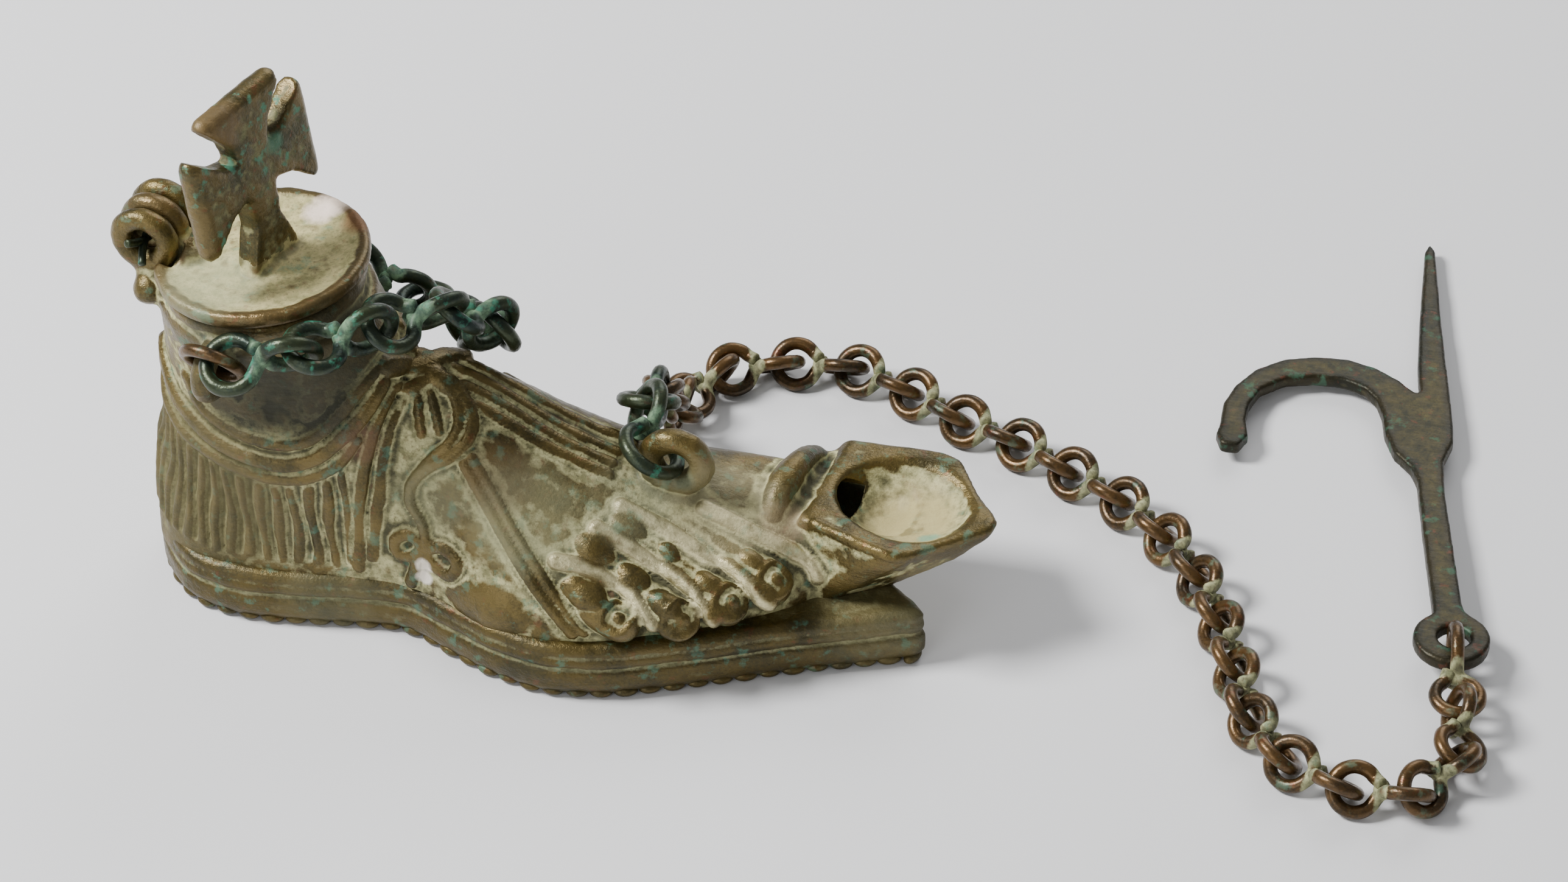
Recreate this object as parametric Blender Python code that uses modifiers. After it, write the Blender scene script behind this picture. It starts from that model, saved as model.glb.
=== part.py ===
"""A cast bronze hanging lamp in the form of a sandalled right foot.

The foot is hollow: oil goes in at the ankle, under a hinged lid that carries a
cross, and the wick comes out at the big toe. Chains of figure-eight links and
a spiked hook hang it up. +X runs from heel to toes, +Y to the big-toe side and
+Z up. The origin is on the flat underside of the sole, under its middle.
"""
import math

import bmesh
import bpy
import numpy as np
from mathutils import Matrix, Vector
from mathutils.bvhtree import BVHTree

# Driving dimensions, in metres
MM = 0.001
SOLE_LENGTH = 152 * MM
SOLE_THICK = 12.5 * MM
SOLE_GAP = 0.3 * MM
BEAD_PITCH = 4.6 * MM
BEAD_HEIGHT = 2.2 * MM
WALL = 3.0 * MM
HOLLOW_FLOOR = 2.2 * MM
FLOOR_GAP = 0.2 * MM

# The foot's own proportions are shares of its sole: the shape tables below are
# in units, of which the sole is 152 long, with x counted from the heel. One
# unit is this many metres.
U = SOLE_LENGTH / 152
HEEL_TO_ORIGIN = 76
LEG_TOP_HALF = 19.6

# Lid, hinge and cross
RIM_FLARE = 0.7 * MM
LID_RADIUS = LEG_TOP_HALF * U + RIM_FLARE
LID_THICK = 2.6 * MM
LID_TURN = math.radians(-5)
LID_TILT = math.radians(5)
LID_GAP = 0.3 * MM
MOUTH_RADIUS = LID_RADIUS - 4.6 * MM
HINGE_BACK = LID_RADIUS + 0.7 * MM
HINGE_RISE = 6.3 * MM
KNUCKLE_RADIUS = 4.6 * MM
KNUCKLE_WIRE = 4.4 * MM
KNUCKLE_PITCH = KNUCKLE_WIRE + 0.3 * MM
SWING = KNUCKLE_RADIUS + KNUCKLE_WIRE / 2 + 0.3 * MM
PIN_WIRE = 1.6 * MM
CROSS_HEIGHT = 37 * MM
CROSS_THICK = 5.0 * MM
CROSS_TURN = math.radians(-16)
CROSS_LEAN = math.radians(-3)
CROSS_SHIFT = 1.6 * MM
# The cross's arms, as shares of its height
ARM_LENGTH = 0.44
ARM_END = 0.295
ARM_NECK = 0.115
CROSS_CENTRE = 0.56

# Lugs and rings on the casting
LINK_WIRE = 2.6 * MM
LUG_WIRE = 2.6 * MM
LUG_RADIUS = LINK_WIRE / 2 + 0.6 * MM + LUG_WIRE * 0.9
LUG_PROUD = 2.25 * MM
INSTEP_RING_SINK = 1.37 * MM
INSTEP_RING_RADIUS = 5.0 * MM
INSTEP_RING_WIRE = 5.0 * MM
LUG_RING_RADIUS = 5.5 * MM
RING_RISE = math.radians(58)
FAR_RING_FALL = math.radians(62)
RING_SWING = math.radians(20)
LUG_TURN = math.radians(-11)

# Chains
LINK_LOOP = 4.0 * MM
LINK_GAP = 0.3 * MM
LONG_SLACK = 1.3 * MM
ANKLE_SLACK = 0.5 * MM
GREEN_WIRE = 2.8 * MM
GREEN_LOOP = 4.6 * MM
HANG_LOOP = 5.3 * MM
EYE_LOOP = 5.0 * MM

# Hook
HOOK_THICK = 3.0 * MM
HOOK_LENGTH = 123.4 * MM
HOOK_TURN = math.radians(8.9)
EYE_RADIUS = 7.3 * MM
EYE_HOLE = 3.1 * MM
HOOK_FLOOR = 0.3 * MM

# Mesh fineness
CAD_VOXEL = 1.0 * MM
CAD_FACES = 2300

# Places and sizes in units
RIM_PLACE = (25.5, 0.0, 71.2)
LUG_DROP = 9.2
INSTEP_RING = (103.0, 0.5)
HOOK_PLACE = (248.6, 19.3)
NOZZLE_BASE = (129.0, 13.5)
NOZZLE_TURN = math.radians(-9)
NOZZLE_TOP = 28.0
NOZZLE_LENGTH = 34.5
NOZZLE_SHOULDER = 20.0
NOZZLE_HALF = 16.0
NOZZLE_BACK_HALF = 12.6
NOZZLE_START = -2.5
WICK_LENGTH = 24.0
WICK_WIDTH = 20.0
WICK_DEPTH = 9.0


def fx(x):
    """The world X of a place given in units from the back of the heel."""
    return (x - HEEL_TO_ORIGIN) * U


def curve_through(rows, at):
    """Smooth values between table rows: the first column is the parameter."""
    rows = np.asarray(rows, float)
    s = rows[:, 0]
    slopes = np.gradient(rows[:, 1:], s, axis=0)
    at = np.clip(np.asarray(at, float), s[0], s[-1])
    i = np.clip(np.searchsorted(s, at) - 1, 0, len(s) - 2)
    h = (s[i + 1] - s[i])[:, None]
    t = ((at - s[i]) / h[:, 0])[:, None]
    a, b = rows[i, 1:], rows[i + 1, 1:]
    return ((2 * t**3 - 3 * t**2 + 1) * a + (t**3 - 2 * t**2 + t) * h * slopes[i]
            + (3 * t**2 - 2 * t**3) * b + (t**3 - t**2) * h * slopes[i + 1])


# The body of the foot along its length, in units: distance from the heel,
# outer edge, inner edge, crest (all across) and height of the crest
FOOT = [
    (1.5, -3.0, 3.0, 0.0, 22.0),
    (2.4, -7.0, 7.0, 0.0, 30.0),
    (5.0, -11.5, 11.5, 0.0, 37.0),
    (9.0, -15.2, 15.2, 0.0, 42.0),
    (14.0, -17.6, 17.4, 0.0, 46.0),
    (22.0, -18.7, 18.4, 0.0, 47.0),
    (34.0, -18.4, 18.2, 0.0, 48.0),
    (45.0, -17.2, 17.4, 0.5, 51.0),
    (54.0, -17.0, 17.2, 1.0, 52.5),
    (62.0, -19.6, 18.0, 2.0, 51.0),
    (70.0, -23.0, 19.5, 3.0, 47.2),
    (78.0, -25.6, 21.0, 4.0, 42.2),
    (85.0, -26.2, 22.0, 5.0, 38.4),
    (92.0, -25.0, 22.6, 6.0, 35.5),
    (100.0, -22.0, 23.0, 8.0, 32.5),
    (110.0, -17.5, 23.6, 10.0, 31.0),
    (120.0, -12.0, 24.0, 12.0, 29.5),
    (128.0, -6.0, 23.5, 12.5, 27.0),
    (134.0, 0.0, 21.0, 12.0, 21.0),
]
# The leg by height, in units: height, back, front (from the heel), half width
LEG = [
    (14.0, 3.0, 58.0, 17.5),
    (28.0, 3.0, 58.0, 18.0),
    (40.0, 4.4, 56.0, 18.0),
    (50.0, 5.4, 53.0, 17.8),
    (58.0, 5.8, 49.5, 18.0),
    (64.0, 5.8, 46.5, 18.6),
    (70.0, 5.6, 45.6, LEG_TOP_HALF),
]


def loft(name, rings):
    """A closed solid through rings of equal length, capped at both ends."""
    bm = bmesh.new()
    rows = [[bm.verts.new(p) for p in ring] for ring in rings]
    n = len(rows[0])
    for a, b in zip(rows, rows[1:]):
        for i in range(n):
            j = (i + 1) % n
            bm.faces.new((a[i], a[j], b[j], b[i]))
    bm.faces.new(rows[0][::-1])
    bm.faces.new(rows[-1])
    bmesh.ops.recalc_face_normals(bm, faces=bm.faces)
    mesh = bpy.data.meshes.new(name)
    bm.to_mesh(mesh)
    bm.free()
    return mesh


def foot_rings(inset=0.0, steps=60, sides=48, floor=8.0, lowest=0.0):
    """Rings across the foot, from heel to toes, each moved inwards by inset units."""
    first, last = FOOT[0][0] + inset, FOOT[-1][0] - inset
    along = first + (last - first) * (1 - np.cos(np.linspace(0, math.pi, steps))) / 2
    rings = []
    for x, (outer, inner, crest, top) in zip(along, curve_through(FOOT, along)):
        outer, inner, top = outer + inset, inner - inset, top - inset
        crest = min(max(crest, outer + 1), inner - 1)
        ring = []
        for k in range(sides):
            a = 2 * math.pi * k / sides
            c, s = math.cos(a), math.sin(a)
            side = (inner - crest) if c > 0 else (crest - outer)
            y = crest + side * math.copysign(abs(c) ** 0.85, c)
            z = floor + (top - floor) * s**1.15 if s > 0 else floor + 3 * s
            ring.append((fx(x), y * U, max(z, lowest) * U))
        rings.append(ring)
    return rings


def leg_rings(inset=0.0, low=14.0, high=70.0, steps=24, sides=48):
    """Level rings up the leg."""
    heights = np.linspace(low, high, steps)
    rings = []
    for z, (back, front, half) in zip(heights, curve_through(LEG, heights)):
        back, front, half = back + inset, front - inset, half - inset
        mid, length = (back + front) / 2, (front - back) / 2
        ring = []
        for k in range(sides):
            a = 2 * math.pi * k / sides
            c, s = math.cos(a), math.sin(a)
            x = mid + length * math.copysign(abs(c) ** 0.95, c)
            ring.append((fx(x), half * math.copysign(abs(s) ** 0.95, s) * U, z * U))
        rings.append(ring)
    return rings


# Relief of the sandal on the outer side, each line drawn by a few points in
# units: distance from the heel, across, height; then half width and height
BAND_UPPER = [(4, -3, 54), (9, -10, 52), (16, -15, 47), (26, -18, 43), (33, -18, 42),
              (39, -17, 44), (45, -13, 51), (49, -7, 56)]
BAND_LOWER = [(2, -3, 49), (6, -8, 47), (13, -14, 43), (23, -17, 38), (31, -18, 37),
              (37, -17, 38), (44, -15, 44), (50, -8, 52), (53, -3, 54)]
BAND_INNER = [(21, -17, 50), (27, -18, 46), (33, -18, 45), (38, -17, 47), (44, -13, 53)]
SIDE_STRAPS = [
    (BAND_UPPER, 1.3, 1.1), (BAND_LOWER, 1.6, 1.2), (BAND_INNER, 0.8, 0.5),
    ([(53, -4, 53), (51, -9, 48), (49, -13, 42), (47, -15, 33), (46, -16, 24)], 1.5, 0.8),
    ([(54, -3, 52), (56, -8, 47), (59, -11, 43)], 0.9, 0.6),
    ([(57, -2, 52), (60, -7, 48), (61, -9, 45)], 0.8, 0.6),
    ([(64, -9, 45), (68, -14, 38), (72, -17, 33), (77, -20, 28), (83, -22, 22), (89, -24, 15)],
     1.5, 1.2),
    ([(72, -15, 35), (77, -18, 31), (82, -21, 25), (89, -23, 17)], 0.6, 0.5),
]
LACE = [(58, 0, 52), (61, -2, 51), (64, -5, 48), (64, -9, 45), (61, -11, 43), (58, -12, 39),
        (55, -13, 35), (56, -14, 31), (58, -16, 26), (57, -17, 22), (55, -17, 17), (55, -18, 12)]
LACE_TWIN = [(61, -1, 51), (65, -4, 49), (66, -7, 46), (64, -10, 43), (60, -13, 39), (57, -14, 36)]
BOW = [[(57, -16, 23), (53, -16, 25), (51, -16, 22), (54, -16, 20), (57, -17, 23)],
       [(57, -17, 22), (61, -17, 25), (65, -19, 24), (63, -19, 20), (60, -18, 19), (57, -17, 22)],
       [(57, -17, 21), (57, -17, 16), (58, -18, 12)]]
TOP_STRAPS = [[(58, 5, 52), (70, 5, 47), (80, 6, 42), (91, 7, 36)],
              [(60, 2, 51), (72, 2, 46), (80, 2, 42), (91, 3, 36)],
              [(63, -1, 50), (73, -1, 46), (80, -1, 42), (91, 0, 36)],
              [(66, -3, 48), (76, -3, 43), (84, -2, 39), (91, -2, 36)]]
KNOT = [[(50, -5, 56), (53, -2, 55), (57, 1, 54), (59, 5, 53)],
        [(51, 4, 56), (54, 1, 55), (57, -2, 53)]]
TOE_RIBS = [[(85, -19, 27), (91, -19, 25), (96, -19, 22), (102, -20, 15)],
            [(93, -12, 30), (99, -13, 26), (107, -15, 20), (112, -16, 14)],
            [(95, -7, 32), (103, -8, 28), (112, -10, 23), (120, -11, 15)],
            [(108, -1, 30), (116, -2, 27), (123, -2, 23), (129, -1, 18)]]
# Toes from the smallest: points along each, in units, with the radius there
TOES = [
    [(84, -17, 21, 4.0), (90, -20, 19, 4.4), (98, -22.5, 16.6, 4.1)],
    [(88, -12, 26, 3.6), (92, -13, 25, 3.6), (98, -15.5, 21.5, 3.7), (108, -19.5, 17, 4.5)],
    [(93, -7.5, 28.5, 3.4), (103, -10, 24.5, 3.6), (109, -12, 21.5, 3.8), (116, -14.5, 18, 4.5)],
    [(104, -3, 26, 3.6), (113, -5, 23.5, 4.0), (123, -8.5, 19, 4.7)],
]
PLEAT_DEPTH = 0.75


def smooth_path(points, step):
    """A smooth line through a few points, cut into even steps."""
    pts = np.asarray(points, float)
    reach = np.r_[0, np.cumsum(np.linalg.norm(np.diff(pts, axis=0), axis=1))]
    count = max(2, int(round(reach[-1] / step)) + 1)
    rows = np.c_[reach, pts]
    return curve_through(rows, np.linspace(0, reach[-1], count))


def limb(name, path, radii, sides=12):
    """A round-ended solid along a path, with a radius at each point."""
    path, radii = np.asarray(path, float), np.asarray(radii, float)
    tangent = np.gradient(path, axis=0)
    tangent /= np.linalg.norm(tangent, axis=1)[:, None]
    up = np.array([0, 0, 1.0]) if abs(tangent[:, 2]).max() < 0.9 else np.array([0, 1.0, 0])
    rings = []
    for end, order in ((0, range(4)), (-1, range(3, -1, -1))):
        caps = []
        for k in order:
            a = math.radians(12 + 26 * k) if k < 3 else math.pi / 2
            out = -1 if end == 0 else 1
            centre = path[end] + out * tangent[end] * radii[end] * math.cos(a)
            caps.append((centre, radii[end] * math.sin(a), tangent[end]))
        middle = list(zip(path[1:-1], radii[1:-1], tangent[1:-1])) if end == 0 else []
        rings += caps + middle
    solid = []
    for centre, radius, along in rings:
        side = np.cross(along, up)
        side /= np.linalg.norm(side)
        over = np.cross(side, along)
        solid.append([tuple(centre + radius * (math.cos(t) * side + math.sin(t) * over))
                      for t in np.linspace(0, 2 * math.pi, sides, endpoint=False)])
    return loft(name, solid)


def torus_mesh(name, matrix, radius, wire, around=24, sides=10):
    """A ring lying in its own XY plane, then placed by a matrix."""
    path = [(radius * math.cos(a), radius * math.sin(a)) for a in
            np.linspace(0, 2 * math.pi, around, endpoint=False)]
    bm = bmesh.new()
    rows = []
    for x, y in path:
        row = []
        for t in np.linspace(0, 2 * math.pi, sides, endpoint=False):
            grow = 1 + wire / 2 * math.cos(t) / radius
            row.append(bm.verts.new(matrix @ Vector((x * grow, y * grow, wire / 2 * math.sin(t)))))
        rows.append(row)
    for a, b in zip(rows, rows[1:] + rows[:1]):
        for i in range(sides):
            j = (i + 1) % sides
            bm.faces.new((a[i], b[i], b[j], a[j]))
    bmesh.ops.recalc_face_normals(bm, faces=bm.faces)
    mesh = bpy.data.meshes.new(name)
    bm.to_mesh(mesh)
    bm.free()
    return mesh


def lid_frame():
    """The rim's plane: its centre at the origin, +X towards the toes, hinge on -X."""
    x, y, z = RIM_PLACE
    return (Matrix.Translation((fx(x), y * U, z * U)) @ Matrix.Rotation(LID_TURN, 4, "Z")
            @ Matrix.Rotation(-LID_TILT, 4, "Y"))


def hinge_point(across=0.0):
    return lid_frame() @ Vector((-HINGE_BACK, across, HINGE_RISE))


def nozzle_frame():
    x, y = NOZZLE_BASE
    return Matrix.Translation((fx(x), y * U, 0)) @ Matrix.Rotation(NOZZLE_TURN, 4, "Z")


def lathe(name, profile, steps, matrix):
    """A turned solid from an open (radius, height) profile that ends on the axis."""
    bm = bmesh.new()
    verts = [bm.verts.new((r, 0, z)) for r, z in profile]
    edges = [bm.edges.new(pair) for pair in zip(verts, verts[1:])]
    bmesh.ops.spin(bm, geom=verts + edges, cent=(0, 0, 0), axis=(0, 0, 1),
                   angle=2 * math.pi, steps=steps, use_merge=True)
    bmesh.ops.remove_doubles(bm, verts=bm.verts, dist=0.01 * MM)
    bmesh.ops.recalc_face_normals(bm, faces=bm.faces)
    bm.transform(matrix)
    mesh = bpy.data.meshes.new(name)
    bm.to_mesh(mesh)
    bm.free()
    return mesh


def nozzle_plan(back, front, width):
    """The six-sided plan of the nozzle, with two points along each side."""
    shoulder = back + (front - back) * NOZZLE_SHOULDER / NOZZLE_LENGTH
    corners = [(back, NOZZLE_BACK_HALF * width), (shoulder - 2, NOZZLE_HALF * width),
               (shoulder + 2, (NOZZLE_HALF - 1) * width), (front - 0.5, 1.4 * width),
               (front - 0.5, -1.4 * width), (shoulder + 2, -(NOZZLE_HALF - 1) * width),
               (shoulder - 2, -NOZZLE_HALF * width), (back, -NOZZLE_BACK_HALF * width)]
    points = []
    for (s0, w0), (s1, w1) in zip(corners, corners[1:] + corners[:1]):
        for t in (0, 1 / 3, 2 / 3):
            points.append((s0 + (s1 - s0) * t, w0 + (w1 - w0) * t))
    return points


def nozzle_mesh():
    """The spout: a narrow keel above the sole that widens to a flat top."""
    levels = [(11.0, -12, 15, 0.48), (14.0, -12, 18, 0.56), (19.0, -9, 25.5, 0.76),
              (23.5, -5, 31.5, 0.94), (25.5, -2, 33.8, 1.0), (27.2, -1, 34.5, 1.0),
              (NOZZLE_TOP, 0, 33.6, 0.96)]
    frame = nozzle_frame()
    rings = [[tuple(frame @ Vector((s * U, w * U, z * U))) for s, w in nozzle_plan(back, front, width)]
             for z, back, front, width in levels]
    return loft("nozzle", rings)


def dish_mesh():
    """The round wick bowl in the nozzle's top, as a cutter."""
    bm = bmesh.new()
    bmesh.ops.create_uvsphere(bm, u_segments=18, v_segments=8, radius=1)
    size = Matrix.Diagonal((WICK_LENGTH / 2 * 1.02 * U, WICK_WIDTH / 2 * 1.02 * U, WICK_DEPTH * U, 1))
    place = Matrix.Translation(((NOZZLE_SHOULDER - 5.5) * U, 0, (NOZZLE_TOP + 1.5) * U))
    bm.transform(nozzle_frame() @ place @ size)
    mesh = bpy.data.meshes.new("wick_bowl")
    bm.to_mesh(mesh)
    bm.free()
    return mesh


# The sole's outline, in units: outer edge from the heel forwards, the square
# front, then back along the inner edge
SOLE_EDGE = [(1.0, 0), (2.2, -6.3), (6, -12.8), (11.5, -18.1), (19, -20.5), (33, -20.2), (45, -18.4),
             (54, -17.9), (62, -21.2), (74, -26.1), (84, -28.1), (94, -26.8), (108, -21.6),
             (128, -12.6), (147, -4.9)]
SOLE_FRONT = [(150.6, -3.2), (151.4, -1.8), (150.4, -0.2)]
SOLE_INNER = [(145, 4.5), (137, 12.5), (129, 18.6), (119, 23.2), (107, 25.6), (92, 25.2), (76, 22),
              (62, 19.2), (52, 18.6), (42, 19.2), (30, 20.2), (19, 20.4), (11.5, 18.1), (6, 12.8),
              (2.2, 6.3)]


def sole_outline(count):
    """Evenly spaced points round the sole with their outward directions, in units."""
    pts = np.array(SOLE_EDGE + SOLE_FRONT + SOLE_INNER, float)
    around = np.vstack([pts[-3:], pts, pts[:3]])
    reach = np.r_[0, np.cumsum(np.linalg.norm(np.diff(around, axis=0), axis=1))]
    start, end = reach[3], reach[3 + len(pts)]
    at = start + (end - start) * np.arange(count) / count
    ring = curve_through(np.c_[reach, around], at)
    along = np.roll(ring, -1, axis=0) - np.roll(ring, 1, axis=0)
    along /= np.linalg.norm(along, axis=1)[:, None]
    outward = np.c_[along[:, 1], -along[:, 0]]
    return ring, outward


def sole_rings(levels, count, grow=None):
    """Rings round the sole at (height, offset) levels, in units."""
    ring, outward = sole_outline(count)
    wave = np.zeros(count) if grow is None else grow
    rings = []
    for z, offset in levels:
        edge = ring + outward * (offset + wave)[:, None]
        rings.append([(fx(x), y * U, z * U) for x, y in edge])
    return rings


def sole_length_round():
    ring, _ = sole_outline(400)
    return np.linalg.norm(np.roll(ring, -1, axis=0) - ring, axis=1).sum() * U


def sole_meshes():
    """The layered slab and the beaded welt under it."""
    thick = SOLE_THICK / U
    welt = BEAD_HEIGHT / U
    slab = loft("slab", sole_rings([
        (welt - 0.4, -0.5), (welt + 0.6, -0.1), (thick * 0.50, 0.1), (thick * 0.57, -0.9),
        (thick * 0.64, -0.1), (thick * 0.9, -0.5), (thick, -1.6)], 44))
    beads = int(round(sole_length_round() / BEAD_PITCH))
    zigzag = np.where(np.arange(beads * 2) % 2, 0.75, -0.15)
    rim = loft("welt", sole_rings([(0, 0), (welt, 0)], beads * 2, zigzag))
    return slab, rim


def ankle_lug_frames():
    """The places of the two chain lugs on the leg: hole across, loop standing out."""
    x, y, top = RIM_PLACE
    height = top - LUG_DROP
    half = curve_through(LEG, [height])[0][2]
    for side in (-1, 1):
        turn = Matrix.Rotation(LUG_TURN, 3, "Z") @ Vector((0, side, 0))
        place = Vector((fx(x), y * U, height * U)) + turn * (half * U + LUG_PROUD)
        yield side, place, turn


def frame_matrix(origin, x_axis, y_axis):
    """A matrix from an origin and two axes, made square to each other."""
    x = Vector(x_axis).normalized()
    z = x.cross(Vector(y_axis)).normalized()
    y = z.cross(x)
    m = Matrix((x, y, z)).transposed().to_4x4()
    m.translation = origin
    return m


def fused(name, meshes, voxel):
    """One closed skin round several overlapping solids."""
    bm = bmesh.new()
    for mesh in meshes:
        bm.from_mesh(mesh)
        bpy.data.meshes.remove(mesh)
    mesh = bpy.data.meshes.new(name)
    bm.to_mesh(mesh)
    bm.free()
    obj = bpy.data.objects.new(name, mesh)
    bpy.context.scene.collection.objects.link(obj)
    skin = obj.modifiers.new("skin", "REMESH")
    skin.mode = "VOXEL"
    skin.voxel_size = voxel
    return bake(obj)


def bake(obj):
    """Apply an object's modifiers by replacing its mesh with the evaluated one."""
    depsgraph = bpy.context.evaluated_depsgraph_get()
    mesh = bpy.data.meshes.new_from_object(obj.evaluated_get(depsgraph))
    obj.modifiers.clear()
    old = obj.data
    obj.data = mesh
    bpy.data.meshes.remove(old)
    return obj


def combine(obj, meshes, operation):
    """Join solids to an object, or cut them out of it, one after another."""
    for mesh in meshes:
        tool = bpy.data.objects.new("tool", mesh)
        bpy.context.scene.collection.objects.link(tool)
        step = obj.modifiers.new(operation.lower(), "BOOLEAN")
        step.operation = operation
        step.solver = "EXACT"
        step.object = tool
        bake(obj)
        bpy.data.objects.remove(tool)
        bpy.data.meshes.remove(mesh)
    return obj


def line_relief(points, surface, lines):
    """Height added at each point by raised lines: (path, half width, height)."""
    height = np.zeros(len(points))
    for path, half, rise in lines:
        dense = smooth_path(path, 1.0) * U
        dense[:, 0] -= HEEL_TO_ORIGIN * U
        on_skin = np.array([surface.find_nearest(Vector(p))[0] for p in dense])
        low, high = on_skin.min(axis=0) - 4 * U, on_skin.max(axis=0) + 4 * U
        near = np.where(((points > low) & (points < high)).all(axis=1))[0]
        if len(near) == 0:
            continue
        a, b = on_skin[:-1], on_skin[1:]
        ab = b - a
        ap = points[near][:, None, :] - a[None]
        t = np.clip((ap * ab).sum(2) / np.maximum((ab * ab).sum(1), 1e-12), 0, 1)
        gap = np.linalg.norm(ap - t[..., None] * ab[None], axis=2).min(axis=1) / (half * U)
        bump = rise * U * np.clip(1.35 - gap**2, 0, 1) ** 0.7
        height[near] = np.maximum(height[near], bump)
    return height


def mirrored(lines):
    return [([(x, -y, z) for x, y, z in path], half, rise) for path, half, rise in lines]


def band_bottom(x):
    """Height of the lower ankle band at a distance from the heel, in units."""
    rows = np.array(sorted({p[0]: p for p in BAND_LOWER}.values()), float)
    return np.interp(x, rows[:, 0], rows[:, 2])


def pleat_relief(points):
    """Upright pleats round the heel, from the lower band down to the sole."""
    x, y, z = points[:, 0] / U + HEEL_TO_ORIGIN, points[:, 1] / U, points[:, 2] / U
    centre = 20.0
    angle = np.arctan2(np.abs(y), centre - x)
    around = np.where(x < centre, 18.5 * angle, 18.5 * math.pi / 2 + x - centre)
    end = 46.5 + (z - 15) * 0.02
    wave = 0.5 + 0.5 * np.cos(2 * math.pi * around / 3.3)
    top = band_bottom(x) - 1.8
    fade = (np.clip((top - z) / 2, 0, 1) * np.clip((z - 15.0) / 1.5, 0, 1) * np.clip((end - x) / 1.0, 0, 1))
    return fade * PLEAT_DEPTH * (wave ** 1.5 * 1.2 - 0.3) * U


def ankle_hollow(points):
    """The shallow hollow over the ankle bone, inside the bands."""
    x, y, z = points[:, 0] / U + HEEL_TO_ORIGIN, points[:, 1] / U, points[:, 2] / U
    d = np.hypot((x - 33) / 11, (z - 54) / 8.5)
    return -0.7 * U * np.clip(1.3 - d, 0, 1) * (np.abs(y) > 8)


def carve(obj):
    """Raise the straps, lace, bow, ribs and pleats on the skin."""
    mesh = obj.data
    count = len(mesh.vertices)
    co = np.empty(count * 3, np.float32)
    mesh.vertices.foreach_get("co", co)
    normal = np.empty(count * 3, np.float32)
    mesh.vertices.foreach_get("normal", normal)
    points, normal = co.reshape(-1, 3).astype(float), normal.reshape(-1, 3).astype(float)
    surface = BVHTree.FromObject(obj, bpy.context.evaluated_depsgraph_get())
    lines = SIDE_STRAPS + mirrored(SIDE_STRAPS)
    lines += [(LACE, 1.1, 1.1), (LACE_TWIN, 0.9, 0.8)] + [(part, 0.9, 0.9) for part in BOW]
    lines += [(part, 1.0, 0.8) for part in TOP_STRAPS] + [(part, 1.7, 1.5) for part in KNOT]
    lines += [(part, 1.5, 0.7) for part in TOE_RIBS]
    height = line_relief(points, surface, lines)
    flat = np.clip(1 - height / (0.4 * U), 0, 1)
    height += flat * (pleat_relief(points) + ankle_hollow(points))
    points += normal * height[:, None]
    mesh.vertices.foreach_set("co", points.astype(np.float32).ravel())
    mesh.update()


def toes():
    for k, toe in enumerate(TOES):
        rows = np.array(toe, float)
        dense = smooth_path(rows, 2.0) * U
        dense[:, 0] -= HEEL_TO_ORIGIN * U
        yield limb("toe_%d" % (5 - k), dense[:, :3], dense[:, 3])


def toe_collar():
    """The rolled thong across the big toe, behind the nozzle."""
    path = smooth_path([(126, 24, 19), (125, 22, 25), (123.5, 16, 29), (122, 9, 29.5),
                        (121, 4, 28), (120.5, 1, 25)], 2.0) * U
    path[:, 0] -= HEEL_TO_ORIGIN * U
    swell = np.interp(np.linspace(0, 1, len(path)), [0, 0.3, 0.7, 1], [2.0, 2.3, 3.2, 2.2]) * U
    return limb("toe_collar", path, swell)


def rim_mesh():
    """The out-turned mouth of the leg, and the shelf that carries the hinge."""
    r = LID_RADIUS
    profile = [(0, -13 * MM), (r - 3.0 * MM, -12 * MM), (r - 1.8 * MM, -8 * MM), (r - 0.2 * MM, -4.5 * MM),
               (r + 0.5 * MM, -2.4 * MM), (r + 0.3 * MM, -0.8 * MM), (r - 0.6 * MM, 0), (0, 0)]
    return lathe("rim", profile, 40, lid_frame())


def hinge_shelf():
    frame = lid_frame()
    half = KNUCKLE_PITCH + KNUCKLE_WIRE / 2
    path = [frame @ Vector((-LID_RADIUS - 0.6 * MM, y, -3.4 * MM)) for y in np.linspace(-half, half, 7)]
    yield limb("shelf", [tuple(p) for p in path], [3.2 * MM] * 7)
    for side in (-1, 1):
        post = [frame @ Vector((-HINGE_BACK - 0.6 * MM, side * KNUCKLE_PITCH, z * MM)) for z in (-4, -2, 0, 1.2)]
        yield limb("post", [tuple(p) for p in post], [2.4 * MM, 2.4 * MM, 2.3 * MM, 2.1 * MM])


def hinge_ring(across, sides=6, around=14):
    """One loop of the hinge, its hole along the hinge axis."""
    y_axis = lid_frame().to_3x3() @ Vector((0, 1, 0))
    x_axis = lid_frame().to_3x3() @ Vector((1, 0, 0))
    z_axis = lid_frame().to_3x3() @ Vector((0, 0, 1))
    m = Matrix((x_axis, z_axis, -y_axis)).transposed().to_4x4()
    m.translation = hinge_point(across)
    return torus_mesh("hinge_ring", m, KNUCKLE_RADIUS, KNUCKLE_WIRE, around, sides)


def axis_cylinder(name, start, end, radius, segments=24):
    """A straight cylinder between two points."""
    start, end = Vector(start), Vector(end)
    bm = bmesh.new()
    bmesh.ops.create_cone(bm, cap_ends=True, segments=segments, radius1=radius, radius2=radius,
                          depth=(end - start).length)
    turn = Vector((0, 0, 1)).rotation_difference(end - start).to_matrix().to_4x4()
    bm.transform(Matrix.Translation((start + end) / 2) @ turn)
    mesh = bpy.data.meshes.new(name)
    bm.to_mesh(mesh)
    bm.free()
    return mesh


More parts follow.
